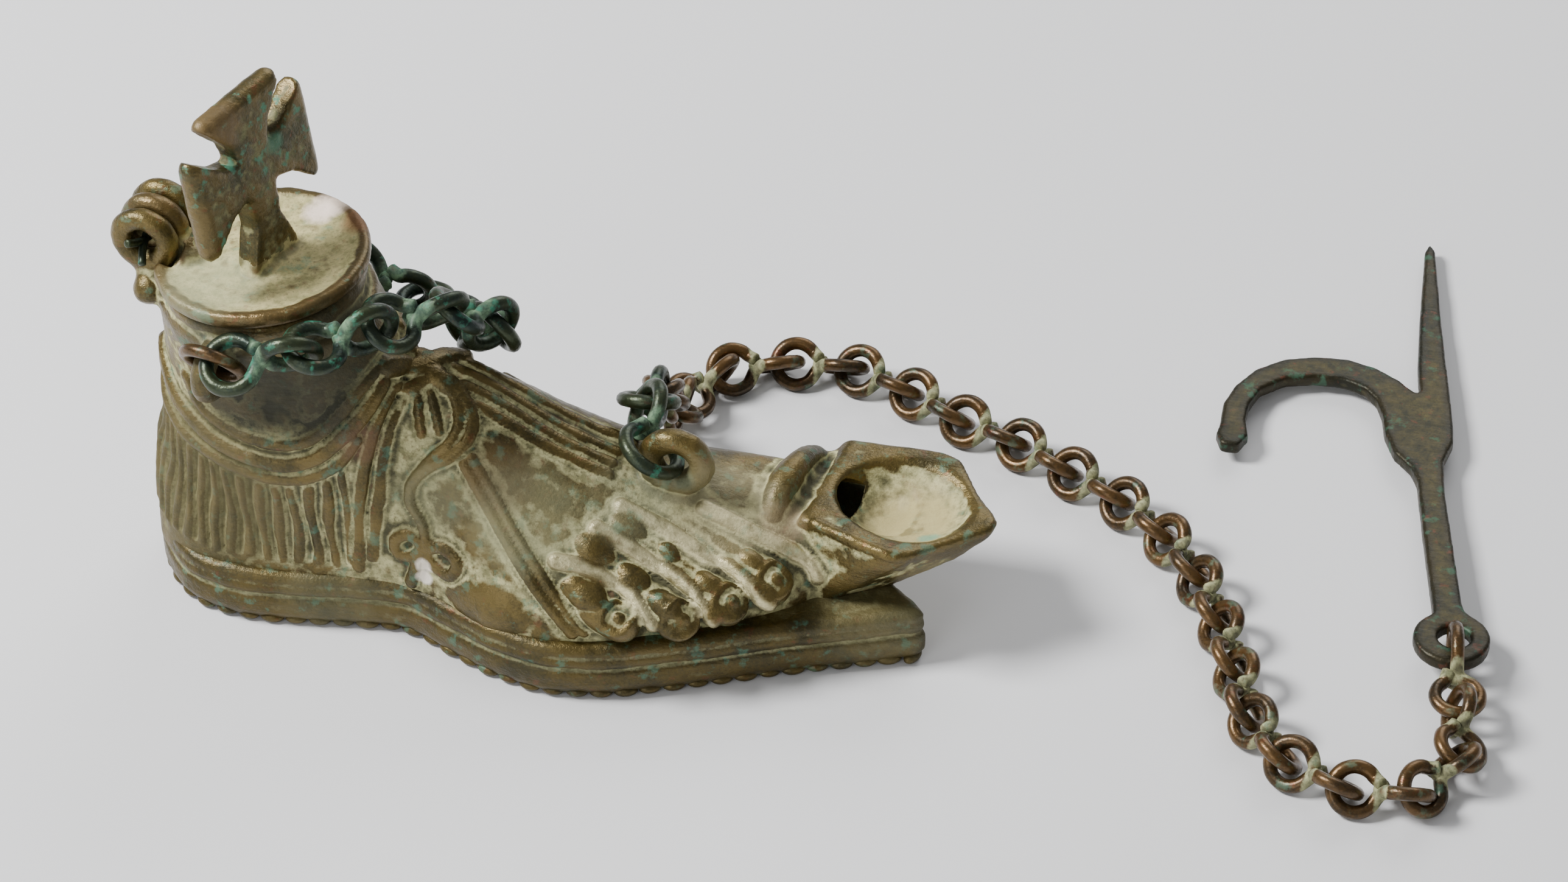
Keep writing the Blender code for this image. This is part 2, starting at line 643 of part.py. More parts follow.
def instep_ring_frame():
    """The ring's own frame: it stands on the crest of the instep, sunk in a little."""
    x, y = INSTEP_RING
    crest = curve_through(FOOT, [x])[0][3] * U
    z = crest + INSTEP_RING_RADIUS + INSTEP_RING_WIRE / 2 - INSTEP_RING_SINK
    return frame_matrix((fx(x), y * U, z), (1, 0, 0), (0, 0, 1))


def cavity_meshes():
    """The hollow of the lamp, the mouth of the leg and the wick's way in."""
    wall = WALL / U
    floor = (SOLE_THICK + SOLE_GAP + HOLLOW_FLOOR) / U
    frame = lid_frame()
    mouth = axis_cylinder("mouth", frame @ Vector((0, 0, -16 * MM)), frame @ Vector((0, 0, 5 * MM)),
                          MOUTH_RADIUS, 20)
    noz = nozzle_frame()
    tunnel = axis_cylinder("tunnel", noz @ Vector((-16 * U, 0, 19.5 * U)),
                           noz @ Vector((6 * U, 0, 22.5 * U)), 5.2 * U, 12)
    return [loft("hollow", foot_rings(wall, 11, 12, 10.5, floor)),
            loft("leg_hollow", leg_rings(wall, floor + 1, 62.0, 4, 12)), mouth, tunnel]


def box_mesh(name, low, high, matrix):
    """A box from its lowest to its highest corner, then placed by a matrix."""
    bm = bmesh.new()
    bmesh.ops.create_cube(bm, size=1)
    low, high = Vector(low), Vector(high)
    bm.transform(matrix @ Matrix.Translation((low + high) / 2) @ Matrix.Diagonal((*(high - low), 1)))
    mesh = bpy.data.meshes.new(name)
    bm.to_mesh(mesh)
    bm.free()
    return mesh


def nozzle_box(gap):
    """The space of the nozzle, in front of the toes, wider by a gap all round."""
    half = (NOZZLE_HALF + 0.5) * U + gap
    return box_mesh("nozzle_box", (NOZZLE_START * U - gap, -half, 0),
                    ((NOZZLE_LENGTH + 10) * U, half, (NOZZLE_TOP + 12) * U), nozzle_frame())


def below_foot():
    """Everything under the foot's flat underside, where the sole goes."""
    return box_mesh("below", (-2 * SOLE_LENGTH, -SOLE_LENGTH, -SOLE_LENGTH),
                    (2 * SOLE_LENGTH, SOLE_LENGTH, SOLE_THICK + SOLE_GAP), Matrix.Identity(4))


def casting_objects():
    """The casting in three nodes that meet face to face: foot with leg, nozzle and sole."""
    meshes = [loft("foot", foot_rings()), loft("leg", leg_rings(high=66.0)), nozzle_mesh(),
              toe_collar(), rim_mesh()] + list(hinge_shelf()) + list(toes())
    foot = fused("foot", meshes, CAD_VOXEL)
    carve(foot)
    thin = foot.modifiers.new("thin", "DECIMATE")
    thin.ratio = min(1, CAD_FACES / sum(len(p.vertices) - 2 for p in foot.data.polygons))
    bake(foot)
    combine(foot, [below_foot()] + cavity_meshes() + [dish_mesh()], "DIFFERENCE")
    nozzle = place("nozzle", foot.data.copy())
    combine(nozzle, [nozzle_box(0)], "INTERSECT")
    knuckle_room = axis_cylinder("room", hinge_point(-KNUCKLE_WIRE / 2 - 0.3 * MM),
                                 hinge_point(KNUCKLE_WIRE / 2 + 0.3 * MM), SWING)
    combine(foot, [nozzle_box(SOLE_GAP), knuckle_room], "DIFFERENCE")
    lugs = [torus_mesh("lug", lug_matrix(where, turn), LUG_RADIUS, LUG_WIRE * 1.8, 12, 6)
            for _, where, turn in ankle_lug_frames()]
    rings = [hinge_ring(side * KNUCKLE_PITCH) for side in (-1, 1)]
    ring = torus_mesh("instep", instep_ring_frame(), INSTEP_RING_RADIUS, INSTEP_RING_WIRE, 16, 8)
    combine(foot, lugs + rings + [ring], "UNION")
    slab, welt = sole_meshes()
    sole = combine(place("sole", slab), [welt], "UNION")
    return foot, nozzle, sole


def lug_matrix(place, outward):
    return frame_matrix(place, outward, (0, 0, 1))


def lid_mesh():
    """The dished disc, the cross that stands in it, and the tongue to the hinge."""
    frame = lid_frame()
    r, t = LID_RADIUS, LID_THICK
    profile = [(0, LID_GAP), (MOUTH_RADIUS, LID_GAP), (r - 1.2 * MM, LID_GAP), (r - 0.1 * MM, t * 0.45),
               (r - 0.1 * MM, t * 1.0), (r - 0.9 * MM, t * 1.35), (r - 2.4 * MM, t * 1.25), (r * 0.5, t * 0.8),
               (0, t * 0.95)]
    return lathe("lid", profile, 28, frame)


def tongue_mesh():
    """The bridge from the disc up to the hinge's middle loop."""
    frame = lid_frame()
    half = KNUCKLE_PITCH + KNUCKLE_WIRE / 2
    levels = [(LID_GAP + 0.3 * MM, 0.0), (LID_THICK * 1.1, -0.2 * MM), (HINGE_RISE - 1.4 * MM, -2.6 * MM)]
    rings = []
    for z, grow in levels:
        back, front = -HINGE_BACK - KNUCKLE_RADIUS * 0.2, -LID_RADIUS * 0.55 + grow
        wide = half + grow
        plan = [(back, -wide), (front - 2 * MM, -wide), (front, -wide * 0.5), (front, wide * 0.5),
                (front - 2 * MM, wide), (back, wide)]
        rings.append([tuple(frame @ Vector((x, y, z))) for x, y in plan])
    return loft("tongue", rings)


def cross_frame():
    return (lid_frame() @ Matrix.Translation((CROSS_SHIFT, 0, 0)) @ Matrix.Rotation(CROSS_TURN, 4, "Z")
            @ Matrix.Rotation(CROSS_LEAN, 4, "Y"))


def cross_outline():
    """The four flared arms, as shares of the cross's height: across and up."""
    points = []
    for k in range(4):
        reach = ARM_LENGTH if k != 3 else CROSS_CENTRE
        end = ARM_END if k != 3 else ARM_END * 0.62
        turn = k * math.pi / 2
        arm = [(ARM_NECK, -ARM_NECK), (reach * 0.55, -end * 0.52), (reach - 0.03, -end),
               (reach, -end * 0.86), (reach, end * 0.86), (reach - 0.03, end),
               (reach * 0.55, end * 0.52)]
        for out, side in arm:
            points.append((out * math.cos(turn) - side * math.sin(turn),
                           out * math.sin(turn) + side * math.cos(turn)))
    return points


def cross_mesh():
    """The cross, thickest at its middle plane so that its edges are rounded."""
    frame = cross_frame()
    outline = np.array(cross_outline()) * CROSS_HEIGHT
    centre = CROSS_CENTRE * CROSS_HEIGHT
    rings = []
    for depth, scale in ((-0.5, 0.93), (-0.25, 1.0), (0.25, 1.0), (0.5, 0.93)):
        ring = [tuple(frame @ Vector((depth * CROSS_THICK, y * scale, centre + z * scale + LID_THICK * 0.5)))
                for y, z in outline]
        rings.append(ring)
    return loft("cross", rings)


def lid_object():
    mesh = lid_mesh()
    obj = bpy.data.objects.new("lid", mesh)
    bpy.context.scene.collection.objects.link(obj)
    combine(obj, [tongue_mesh(), cross_mesh()], "UNION")
    reach = KNUCKLE_WIRE / 2 + KNUCKLE_PITCH + 0.3 * MM
    inner = KNUCKLE_WIRE / 2 - 0.02 * MM
    cuts = [axis_cylinder("clear", hinge_point(side * inner), hinge_point(side * reach), SWING)
            for side in (-1, 1)]
    bore = axis_cylinder("bore", hinge_point(-inner - 1 * MM), hinge_point(inner + 1 * MM),
                         KNUCKLE_RADIUS, 16)
    combine(obj, cuts + [bore], "DIFFERENCE")
    combine(obj, [hinge_ring(0)], "UNION")
    return obj


def wire_object(name, path, wire, matrix=None):
    """A round wire with filled ends, as a mesh."""
    curve = bpy.data.curves.new(name, "CURVE")
    curve.dimensions = "3D"
    curve.bevel_depth = wire / 2
    curve.bevel_resolution = 1
    curve.use_fill_caps = True
    spline = curve.splines.new("POLY")
    spline.points.add(len(path) - 1)
    for point, p in zip(spline.points, path):
        point.co = (*p, 1)
    obj = bpy.data.objects.new(name, curve)
    bpy.context.scene.collection.objects.link(obj)
    mesh = bpy.data.meshes.new_from_object(obj.evaluated_get(bpy.context.evaluated_depsgraph_get()))
    bpy.data.objects.remove(obj)
    bpy.data.curves.remove(curve)
    bm = bmesh.new()
    bm.from_mesh(mesh)
    bmesh.ops.remove_doubles(bm, verts=bm.verts, dist=0.001 * MM)
    bmesh.ops.recalc_face_normals(bm, faces=bm.faces)
    if matrix is not None:
        bm.transform(matrix)
    bm.to_mesh(mesh)
    bm.free()
    mesh.name = name
    return mesh


def place(name, mesh):
    obj = bpy.data.objects.new(name, mesh)
    bpy.context.scene.collection.objects.link(obj)
    return obj


def pin_object():
    """The doubled wire through the hinge, looped at the back, splayed in front."""
    frame = lid_frame()
    half = PIN_WIRE / 2 + 0.1 * MM
    out = KNUCKLE_PITCH + KNUCKLE_WIRE / 2
    side = [(half + 1.3 * MM, -out - 2.4 * MM), (half, -out - 0.2 * MM), (half, out + 0.3 * MM),
            (half + 0.8 * MM, out + 1.6 * MM), (half * 0.7, out + 2.8 * MM)]
    path = [(rise, y) for rise, y in side] + [(-rise, y) for rise, y in side[::-1]]
    points = [frame @ Vector((-HINGE_BACK - rise * 0.5, y, HINGE_RISE + rise)) for rise, y in path]
    return place("hinge_pin", wire_object("hinge_pin", points, PIN_WIRE))


# Chains. A link is one wire bent into two loops that stand square to each
# other, with its two cut ends left open near the waist.
class Link:
    def __init__(self, wire, loop, last_loop=None, points=5):
        self.wire = wire
        self.points = points
        self.first = loop
        self.second = last_loop or loop
        self.span = self.first + self.second + wire * 0.56

    def path(self):
        """The wire's centreline, along +X, first loop in XY, second in XZ."""
        turns = np.radians(52 + 250 * np.arange(self.points) / (self.points - 1))
        wide = 1 / math.cos((turns[1] - turns[0]) / 2) ** 0.5
        first, second = self.first * wide, self.second * wide
        waist = (self.first - self.second) / 2
        points = [(-self.span / 2 + first * math.cos(a), first * math.sin(a), 0) for a in turns]
        points.append((waist, -self.wire * 0.15, self.wire * 0.15))
        points += [(self.span / 2 - second * math.cos(a), 0, second * math.sin(a)) for a in turns]
        return points


def reach_between(a, b):
    """How far apart the loop centres of two linked links can be."""
    return a.second + b.first - (a.wire + b.wire) / 2 - LINK_GAP


def link_lengths(links):
    """Taut distance from joint to joint for each link of a chain."""
    halves = [0] + [reach_between(a, b) / 2 for a, b in zip(links, links[1:])] + [0]
    return [halves[k] + link.span + halves[k + 1] for k, link in enumerate(links)], halves


def walk_chain(dense, links, slack):
    """Joint points along a dense route, and the length of route left over."""
    lengths, halves = link_lengths(links)
    joints, at = [dense[0]], 0
    for k, length in enumerate(lengths):
        length -= slack * ((halves[k] > 0) + (halves[k + 1] > 0)) / 2
        away = np.linalg.norm(dense[at:] - joints[-1], axis=1)
        far = np.where(away >= length)[0]
        if len(far) == 0:
            return joints, away[-1] - length
        at += far[0]
        joints.append(dense[at])
    return joints, np.linalg.norm(dense[at:] - dense[-1], axis=1)[0]


def chain_objects(name, route, start, repeat, end, least, rolls):
    """Links laid along a route, each turned by its own roll about its line.

    The repeated link comes as often as the route needs: the fewest links that
    reach its end with at least that slack between them, which is then shared
    out. A roll is given for a link's number, counted from the end if negative.
    """
    dense = smooth_path(route, 0.05 * MM)
    links, left = start + end, 1
    while left > 0:
        links = links[:len(start)] + [repeat] + links[len(start):]
        joints, left = walk_chain(dense, links, least)
    low, high = least, least + 2 * MM
    for _ in range(30):
        slack = (low + high) / 2
        joints, left = walk_chain(dense, links, slack)
        low, high = (low, slack) if len(joints) > len(links) and left > 0 else (slack, high)
    joints, _ = walk_chain(dense, links, low)
    while len(joints) <= len(links):
        joints.append(dense[-1])
    joints[-1] = dense[-1]
    _, halves = link_lengths(links)
    meshes = {}
    numbered = [(n if n > 0 else len(links) + 1 + n, roll) for n, roll in rolls]
    rolls = np.interp(np.arange(len(links)) + 1, *zip(*numbered))
    for k, link in enumerate(links):
        a, b = Vector(joints[k]), Vector(joints[k + 1])
        along = (b - a).normalized()
        near = max(halves[k] - low / 2, 0) if k else 0
        far = max(halves[k + 1] - low / 2, 0) if k + 1 < len(links) else 0
        middle = a + along * (near + ((b - a).length - far - near) / 2)
        up = Vector((0, 0, 1)) if abs(along.z) < 0.95 else Vector((0, 1, 0))
        m = frame_matrix(middle, along, up.cross(along)) @ Matrix.Rotation(math.radians(rolls[k]), 4, "X")
        key = (link.wire, link.first, link.second, link.points)
        if key not in meshes:
            meshes[key] = wire_object(name, link.path(), link.wire)
        obj = place("%s_link_%02d" % (name, k + 1), meshes[key])
        obj.matrix_world = m
        yield obj


# Routes in units: distance from the heel, across, height
LONG_ROUTE = [(94.5, 9, 41.5), (94, 16, 39), (94, 23.5, 33), (91, 33, 24.5), (92, 41, 14.5), (91, 50, 7.5),
              (91, 58, 4.6), (95.5, 66, 4.6), (102, 70, 4.4), (112, 72.5, 4.4), (124, 73, 4.4), (133, 69, 4.4),
              (143, 63.5, 4.4), (157, 58.5, 4.4), (170, 51.5, 4.4), (182, 45, 4.4), (192, 36, 4.4),
              (199, 27, 4.4), (204.5, 16.5, 4.4), (209, 5.5, 4.4), (212.5, -5, 4.4), (219, -15.5, 4.4),
              (229, -21.5, 4.4), (240, -23, 4.4), (249.5, -20, 4.6), (253.5, -12, 5.2),
              (252.5, -3, 5.6), (251, 5, 6.0)]
LONG_ROLLS = [(1, 31), (2, -2), (3, -32), (4, -9), (5, 15), (6, 25), (7, 45), (-3, 45), (-2, 25), (-1, 0)]
ANKLE_ROUTE = [(39, -23, 71.5), (46.5, -17.5, 70.5), (52.5, -10, 71), (57.5, -5.5, 71.5), (61.5, 2, 65.5),
               (65, 6, 59.5), (67, 11.5, 55), (65.5, 14.5, 52), (62, 18, 48), (55.5, 23.5, 45.5),
               (50.5, 25, 46), (44.5, 26.5, 46.5)]
ANKLE_ROLLS = [(1, 29), (2, 11), (3, 33), (4, 11), (5, 59), (6, 92), (7, 74)]

# The hook's own frame has its origin in the hole of the eye and +Y to the spike.
# The outline runs up the right of the shank, round the spike, over the outside of
# the bow to its blunt tip, back along the inside and down the left of the shank.
HOOK_EDGE = [(2.1, 8), (1, 24), (-0.2, 43), (0, 52.5), (2.0, 58), (2.2, 63), (1.9, 74.5), (1.4, 86),
             (0.9, 103), (0.6, 121), (-0.5, 123.4), (-1.6, 120.5), (-3.3, 98), (-4.2, 82), (-4.2, 72.5),
             (-8, 77), (-12.5, 80.7), (-18, 83.3), (-24.5, 83.6), (-31, 82.3), (-36.7, 78.8),
             (-41, 73), (-43.3, 67.4), (-44, 61), (-44.8, 58), (-43.9, 54.5), (-40.4, 54.1),
             (-38.4, 57.6), (-38.9, 62.4), (-38.2, 67.2), (-35.8, 72.4), (-31, 75.9), (-24.8, 77),
             (-19, 76.3), (-15, 74), (-12.7, 70.5), (-11.7, 66), (-11.5, 60.7), (-9.8, 54.2),
             (-6.6, 49.8), (-5.5, 46), (-4.9, 31), (-3.7, 7.5)]


def eye_height():
    """The eye hangs a little under the middle of the loop that runs through it."""
    return FLOOR_GAP + LINK_WIRE / 2 + EYE_LOOP - 0.9 * MM


def hook_frame():
    x, y = HOOK_PLACE
    lean = math.asin((eye_height() - HOOK_THICK / 2 - HOOK_FLOOR) / HOOK_LENGTH)
    return (Matrix.Translation((fx(x), y * U, eye_height())) @ Matrix.Rotation(HOOK_TURN, 4, "Z")
            @ Matrix.Rotation(-lean, 4, "X"))


def eye_link_end():
    """Where the last link's loop is centred, its wire through the hole of the eye."""
    end = hook_frame() @ Vector((0, 0.2 * MM - EYE_LOOP, 0))
    end.z = FLOOR_GAP + LINK_WIRE / 2 + EYE_LOOP
    return end


def arc(centre, radius, start, end, steps):
    """Points on an arc, angles in degrees."""
    return [(centre[0] + radius * math.cos(math.radians(a)), centre[1] + radius * math.sin(math.radians(a)))
            for a in np.linspace(start, end, steps)]


def hook_outline():
    """The flat hook: shank, spike, bow and the round eye."""
    size = HOOK_LENGTH / 123.4
    points = [(x * size, y * size) for x, y in HOOK_EDGE]
    return points + arc((-0.4 * MM, 0), EYE_RADIUS, 118, 420, 15)


def hook_object():
    curve = bpy.data.curves.new("hook", "CURVE")
    curve.dimensions = "2D"
    curve.fill_mode = "BOTH"
    curve.extrude = HOOK_THICK / 2
    for points in (hook_outline(), arc((0, 0), EYE_HOLE, 0, 330, 12)):
        spline = curve.splines.new("POLY")
        spline.points.add(len(points) - 1)
        for point, (x, y) in zip(spline.points, points):
            point.co = (x, y, 0, 1)
        spline.use_cyclic_u = True
    obj = place("hook_curve", curve)
    mesh = bpy.data.meshes.new_from_object(obj.evaluated_get(bpy.context.evaluated_depsgraph_get()))
    bpy.data.objects.remove(obj)
    bpy.data.curves.remove(curve)
    bm = bmesh.new()
    bm.from_mesh(mesh)
    bmesh.ops.remove_doubles(bm, verts=bm.verts, dist=0.001 * MM)
    bmesh.ops.recalc_face_normals(bm, faces=bm.faces)
    bm.transform(hook_frame())
    bm.to_mesh(mesh)
    bm.free()
    return place("hook", mesh)


def lug_rings():
    """The wire rings in the two ankle lugs, and where the chain hangs from each."""
    for side, centre, outward in ankle_lug_frames():
        tilt = RING_RISE if side < 0 else -FAR_RING_FALL
        lean = outward * math.cos(tilt) + Vector((0, 0, math.sin(tilt)))
        along = Vector((0, 0, 1)).cross(outward) * -side
        lift = (LUG_RADIUS - LUG_WIRE * 0.9 - LINK_WIRE / 2) * 0.5
        swing = lean * math.cos(RING_SWING) + along * math.sin(RING_SWING)
        middle = centre + swing * (LUG_RING_RADIUS - lift)
        mesh = torus_mesh("ring", frame_matrix(middle, along, lean), LUG_RING_RADIUS, LINK_WIRE * 0.92, 16, 6)
        hang = middle + (along * 0.87 + lean * 0.5) * LUG_RING_RADIUS
        yield side, place("near_lug_ring" if side < 0 else "far_lug_ring", mesh), hang


def instep_hang():
    """The point of the instep ring that the long chain's first loop goes round."""
    return instep_ring_frame() @ Vector((-INSTEP_RING_RADIUS * 0.93, INSTEP_RING_RADIUS * 0.36, 0))


def in_units(route):
    return [(fx(x), y * U, z * U) for x, y, z in route]


def chain_sets():
    rings = list(lug_rings())
    (_, _, near), (_, _, far) = rings
    brown, green = Link(LINK_WIRE, LINK_LOOP), Link(GREEN_WIRE, GREEN_LOOP)
    first = Link(GREEN_WIRE, HANG_LOOP, GREEN_LOOP, 7)
    last = Link(LINK_WIRE, LINK_LOOP, EYE_LOOP, 8)
    route = [tuple(instep_hang())] + in_units(LONG_ROUTE) + [tuple(eye_link_end())]
    long_chain = list(chain_objects("long_chain", route, [first, green], brown, [last],
                                    LONG_SLACK, LONG_ROLLS))
    route = [tuple(near)] + in_units(ANKLE_ROUTE) + [tuple(far)]
    ankle = list(chain_objects("ankle_chain", route, [green], green, [green],
                               ANKLE_SLACK, ANKLE_ROLLS))
    return [ring for _, ring, _ in rings], long_chain, ankle


def surface(name, colour, metallic, roughness):
    """A plain Principled material."""
    material = bpy.data.materials.new(name)
    material.use_nodes = True
    shader = material.node_tree.nodes["Principled BSDF"]
    shader.inputs["Base Color"].default_value = (*colour, 1)
    shader.inputs["Metallic"].default_value = metallic
    shader.inputs["Roughness"].default_value = roughness
    material.diffuse_color = (*colour, 1)
    return material


def finish(obj, colour, metallic=0.6, roughness=0.55):
    """Give an object its own material and put it in the lamp's collection."""
    obj.data.materials.clear()
    obj.data.materials.append(surface(obj.name, colour, metallic, roughness))
    bpy.context.scene.collection.objects.unlink(obj)
    bpy.data.collections["oil_lamp"].objects.link(obj)


def build():
    for old in list(bpy.data.objects):
        bpy.data.objects.remove(old)
    home = bpy.data.collections.new("oil_lamp")
    bpy.context.scene.collection.children.link(home)
    olive, tan, brown = (0.20, 0.17, 0.09), (0.23, 0.19, 0.10), (0.20, 0.12, 0.05)
    green, dark = (0.05, 0.13, 0.10), (0.14, 0.10, 0.05)
    for piece in casting_objects():
        finish(piece, olive, 0.5, 0.6)
    finish(lid_object(), tan, 0.5, 0.6)
    finish(pin_object(), dark)
    finish(hook_object(), (0.16, 0.13, 0.06), 0.5, 0.55)
    rings, long_chain, ankle = chain_sets()
    for ring in rings:
        finish(ring, brown)
    for k, link in enumerate(long_chain):
        finish(link, green if k < 2 else brown, 0.7, 0.45)
    for link in ankle:
        finish(link, green, 0.6, 0.5)


build()
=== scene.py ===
# %% [markdown]
# # A bronze hanging lamp in the form of a sandalled foot
# The lamp is a hollow casting. Oil goes in at the ankle, under a hinged lid with a
# cross on it, and the wick lies in a bowl at the big toe. It hung from a chain of
# figure-eight wire links that ends in a spiked hook. The solids already fix every
# place and size. This file gives them their carved surface and their old patina.

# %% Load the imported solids
import math

import bmesh
import bpy
import numpy as np
from mathutils import Matrix, Vector, noise
from mathutils.bvhtree import BVHTree


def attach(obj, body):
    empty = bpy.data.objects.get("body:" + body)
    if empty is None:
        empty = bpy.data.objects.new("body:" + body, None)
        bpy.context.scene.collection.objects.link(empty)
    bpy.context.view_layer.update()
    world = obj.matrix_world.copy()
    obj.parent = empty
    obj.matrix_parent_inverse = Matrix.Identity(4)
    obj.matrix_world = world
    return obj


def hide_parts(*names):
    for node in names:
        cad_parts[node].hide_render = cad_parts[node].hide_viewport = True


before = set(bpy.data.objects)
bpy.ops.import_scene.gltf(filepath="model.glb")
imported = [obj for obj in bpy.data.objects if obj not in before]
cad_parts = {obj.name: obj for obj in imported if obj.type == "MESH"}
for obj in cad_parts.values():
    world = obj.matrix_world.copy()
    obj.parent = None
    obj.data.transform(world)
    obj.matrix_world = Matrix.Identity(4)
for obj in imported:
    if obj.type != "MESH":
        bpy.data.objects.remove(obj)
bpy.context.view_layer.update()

MM = 0.001

# %% [markdown]
# ## Camera, light and floor
# The photograph was taken from above and a little to the right, with a long lens,
# under one wide soft light from the upper left. The camera is placed by its angles
# and its distance from a point on the floor, so each number has one meaning.

# %% Camera
AZIMUTH, ELEVATION = math.radians(13), math.radians(41)
CAMERA_DISTANCE = 950 * MM
CAMERA_TARGET = Vector((35.4, 53.3, 0)) * MM
SENSOR_WIDTH = 36
FOCAL_SHARE = 7837.5 / 2576

camera_data = bpy.data.cameras.new("camera")
camera_data.sensor_width = SENSOR_WIDTH
camera_data.lens = SENSOR_WIDTH * FOCAL_SHARE
camera_data.clip_end = 20
camera = bpy.data.objects.new("camera", camera_data)
bpy.context.scene.collection.objects.link(camera)
bpy.context.scene.camera = camera
backward = Vector((math.cos(ELEVATION) * math.sin(AZIMUTH), -math.cos(ELEVATION) * math.cos(AZIMUTH),
                   math.sin(ELEVATION)))
camera.location = CAMERA_TARGET + backward * CAMERA_DISTANCE
camera.rotation_euler = backward.to_track_quat("Z", "Y").to_euler()
print("lens", round(camera_data.lens, 1), "mm")


# %% Colours are written as sRGB hex, and turned linear in one place
def linear(hex_colour):
    """An sRGB hex colour as the linear RGBA that Blender works in."""
    parts = [int(hex_colour[i:i + 2], 16) / 255 for i in (1, 3, 5)]
    return (*[c / 12.92 if c <= 0.04045 else ((c + 0.055) / 1.055) ** 2.4 for c in parts], 1)


def add(tree, kind, settings=None, links=None, values=None):
    """Add a node, set its properties (a ramp's stops too) and input values, and link its inputs."""
    node = tree.nodes.new(kind)
    settings = dict(settings or {})
    for element, (place, level) in zip(node.color_ramp.elements if "stops" in settings else (),
                                       settings.pop("stops", ())):
        element.position = place
        element.color = linear(level) if isinstance(level, str) else (level, level, level, 1)
    for name, value in settings.items():
        setattr(node, name, value)
    for key, value in (values or {}).items():
        node.inputs[key].default_value = value
    for key, socket in (links or {}).items():
        tree.links.new(socket, node.inputs[key])
    return node


# %% Lights: one wide soft box at the upper left, a weak one from the right, pale air
def area_light(name, place, aim, size, power):
    data = bpy.data.lights.new(name, "AREA")
    data.size = size
    data.energy = power
    light = bpy.data.objects.new(name, data)
    bpy.context.scene.collection.objects.link(light)
    light.location = place
    light.rotation_euler = (Vector(place) - Vector(aim)).to_track_quat("Z", "Y").to_euler()
    return light


area_light("soft_box", (-0.75, -0.15, 0.95), (0.0, 0.0, 0.02), 0.36, 26.0)
area_light("back_box", (0.15, 0.95, 0.75), (0.02, 0.02, 0.03), 0.7, 6.0)
area_light("fill_box", (-0.35, -1.0, 0.45), (0.0, 0.0, 0.03), 0.6, 3.5)

world = bpy.data.worlds.new("pale_air")
bpy.context.scene.world = world
world.use_nodes = True
world.node_tree.nodes["Background"].inputs["Color"].default_value = linear("#e9eaec")
world.node_tree.nodes["Background"].inputs["Strength"].default_value = 0.38

# %% Floor: seamless grey paper
floor_mesh = bpy.data.meshes.new("paper_floor")
bm = bmesh.new()
bmesh.ops.create_grid(bm, x_segments=1, y_segments=1, size=4)
bm.to_mesh(floor_mesh)
bm.free()
floor = bpy.data.objects.new("paper_floor", floor_mesh)
bpy.context.scene.collection.objects.link(floor)
paper = bpy.data.materials.new("matt_grey_paper")
paper.use_nodes = True
paper.node_tree.nodes["Principled BSDF"].inputs["Base Color"].default_value = linear("#e2e2e3")
paper.node_tree.nodes["Principled BSDF"].inputs["Roughness"].default_value = 0.9
floor_mesh.materials.append(paper)
print("lights and floor are in place")

# %% [markdown]
# ## Sizes of the lamp
# The foot is free form, so its proportions are tables of a few sections. They
# count in units: the sole is 152 units long, x is counted from the back of the heel, y
# across and z up. These are the same tables that the solids were made from.

# %% Driving sizes
SOLE_LENGTH = 152 * MM
SOLE_THICK = 12.5 * MM
BEAD_PITCH = 4.6 * MM
WALL = 3.0 * MM
FLOOR_GAP = 0.2 * MM
U = SOLE_LENGTH / 152
HEEL_TO_ORIGIN = 76
LEG_TOP_HALF = 19.6
CAST_VOXEL, SKIN = 0.7 * MM, 0.6 * MM
SOLE_VOXEL = 0.48 * MM
LID_VOXEL = 0.42 * MM
HOOK_VOXEL = 0.4 * MM

LID_RADIUS = LEG_TOP_HALF * U + 0.7 * MM
LID_THICK = 2.6 * MM
LID_TURN = math.radians(-5)
LID_TILT = math.radians(5)
LID_GAP = 0.3 * MM
MOUTH_RADIUS = LID_RADIUS - 4.6 * MM
HINGE_BACK = LID_RADIUS + 0.7 * MM
HINGE_RISE = 6.3 * MM
KNUCKLE_RADIUS = 4.6 * MM
KNUCKLE_WIRE = 4.4 * MM
KNUCKLE_PITCH = KNUCKLE_WIRE + 0.3 * MM
SWING = KNUCKLE_RADIUS + KNUCKLE_WIRE / 2 + 0.3 * MM
PIN_WIRE = 1.6 * MM
CROSS_HEIGHT = 37 * MM
CROSS_THICK = 5.0 * MM
CROSS_TURN = math.radians(-16)
CROSS_LEAN = math.radians(-3)
CROSS_SHIFT = 1.6 * MM
ARM_LENGTH, ARM_END, ARM_NECK, CROSS_CENTRE = 0.44, 0.295, 0.115, 0.56

LINK_WIRE = 2.6 * MM
LUG_WIRE = 2.6 * MM
LUG_RADIUS = LINK_WIRE / 2 + 0.6 * MM + LUG_WIRE * 0.9
LUG_PROUD = 2.25 * MM
LUG_DROP = 9.2
INSTEP_RING_RADIUS = 5.0 * MM
INSTEP_RING_WIRE = 5.0 * MM
INSTEP_RING_SINK = 1.37 * MM
LUG_RING_RADIUS = 5.5 * MM
RING_RISE = math.radians(58)
FAR_RING_FALL = math.radians(62)
RING_SWING = math.radians(20)
LUG_TURN = math.radians(-11)

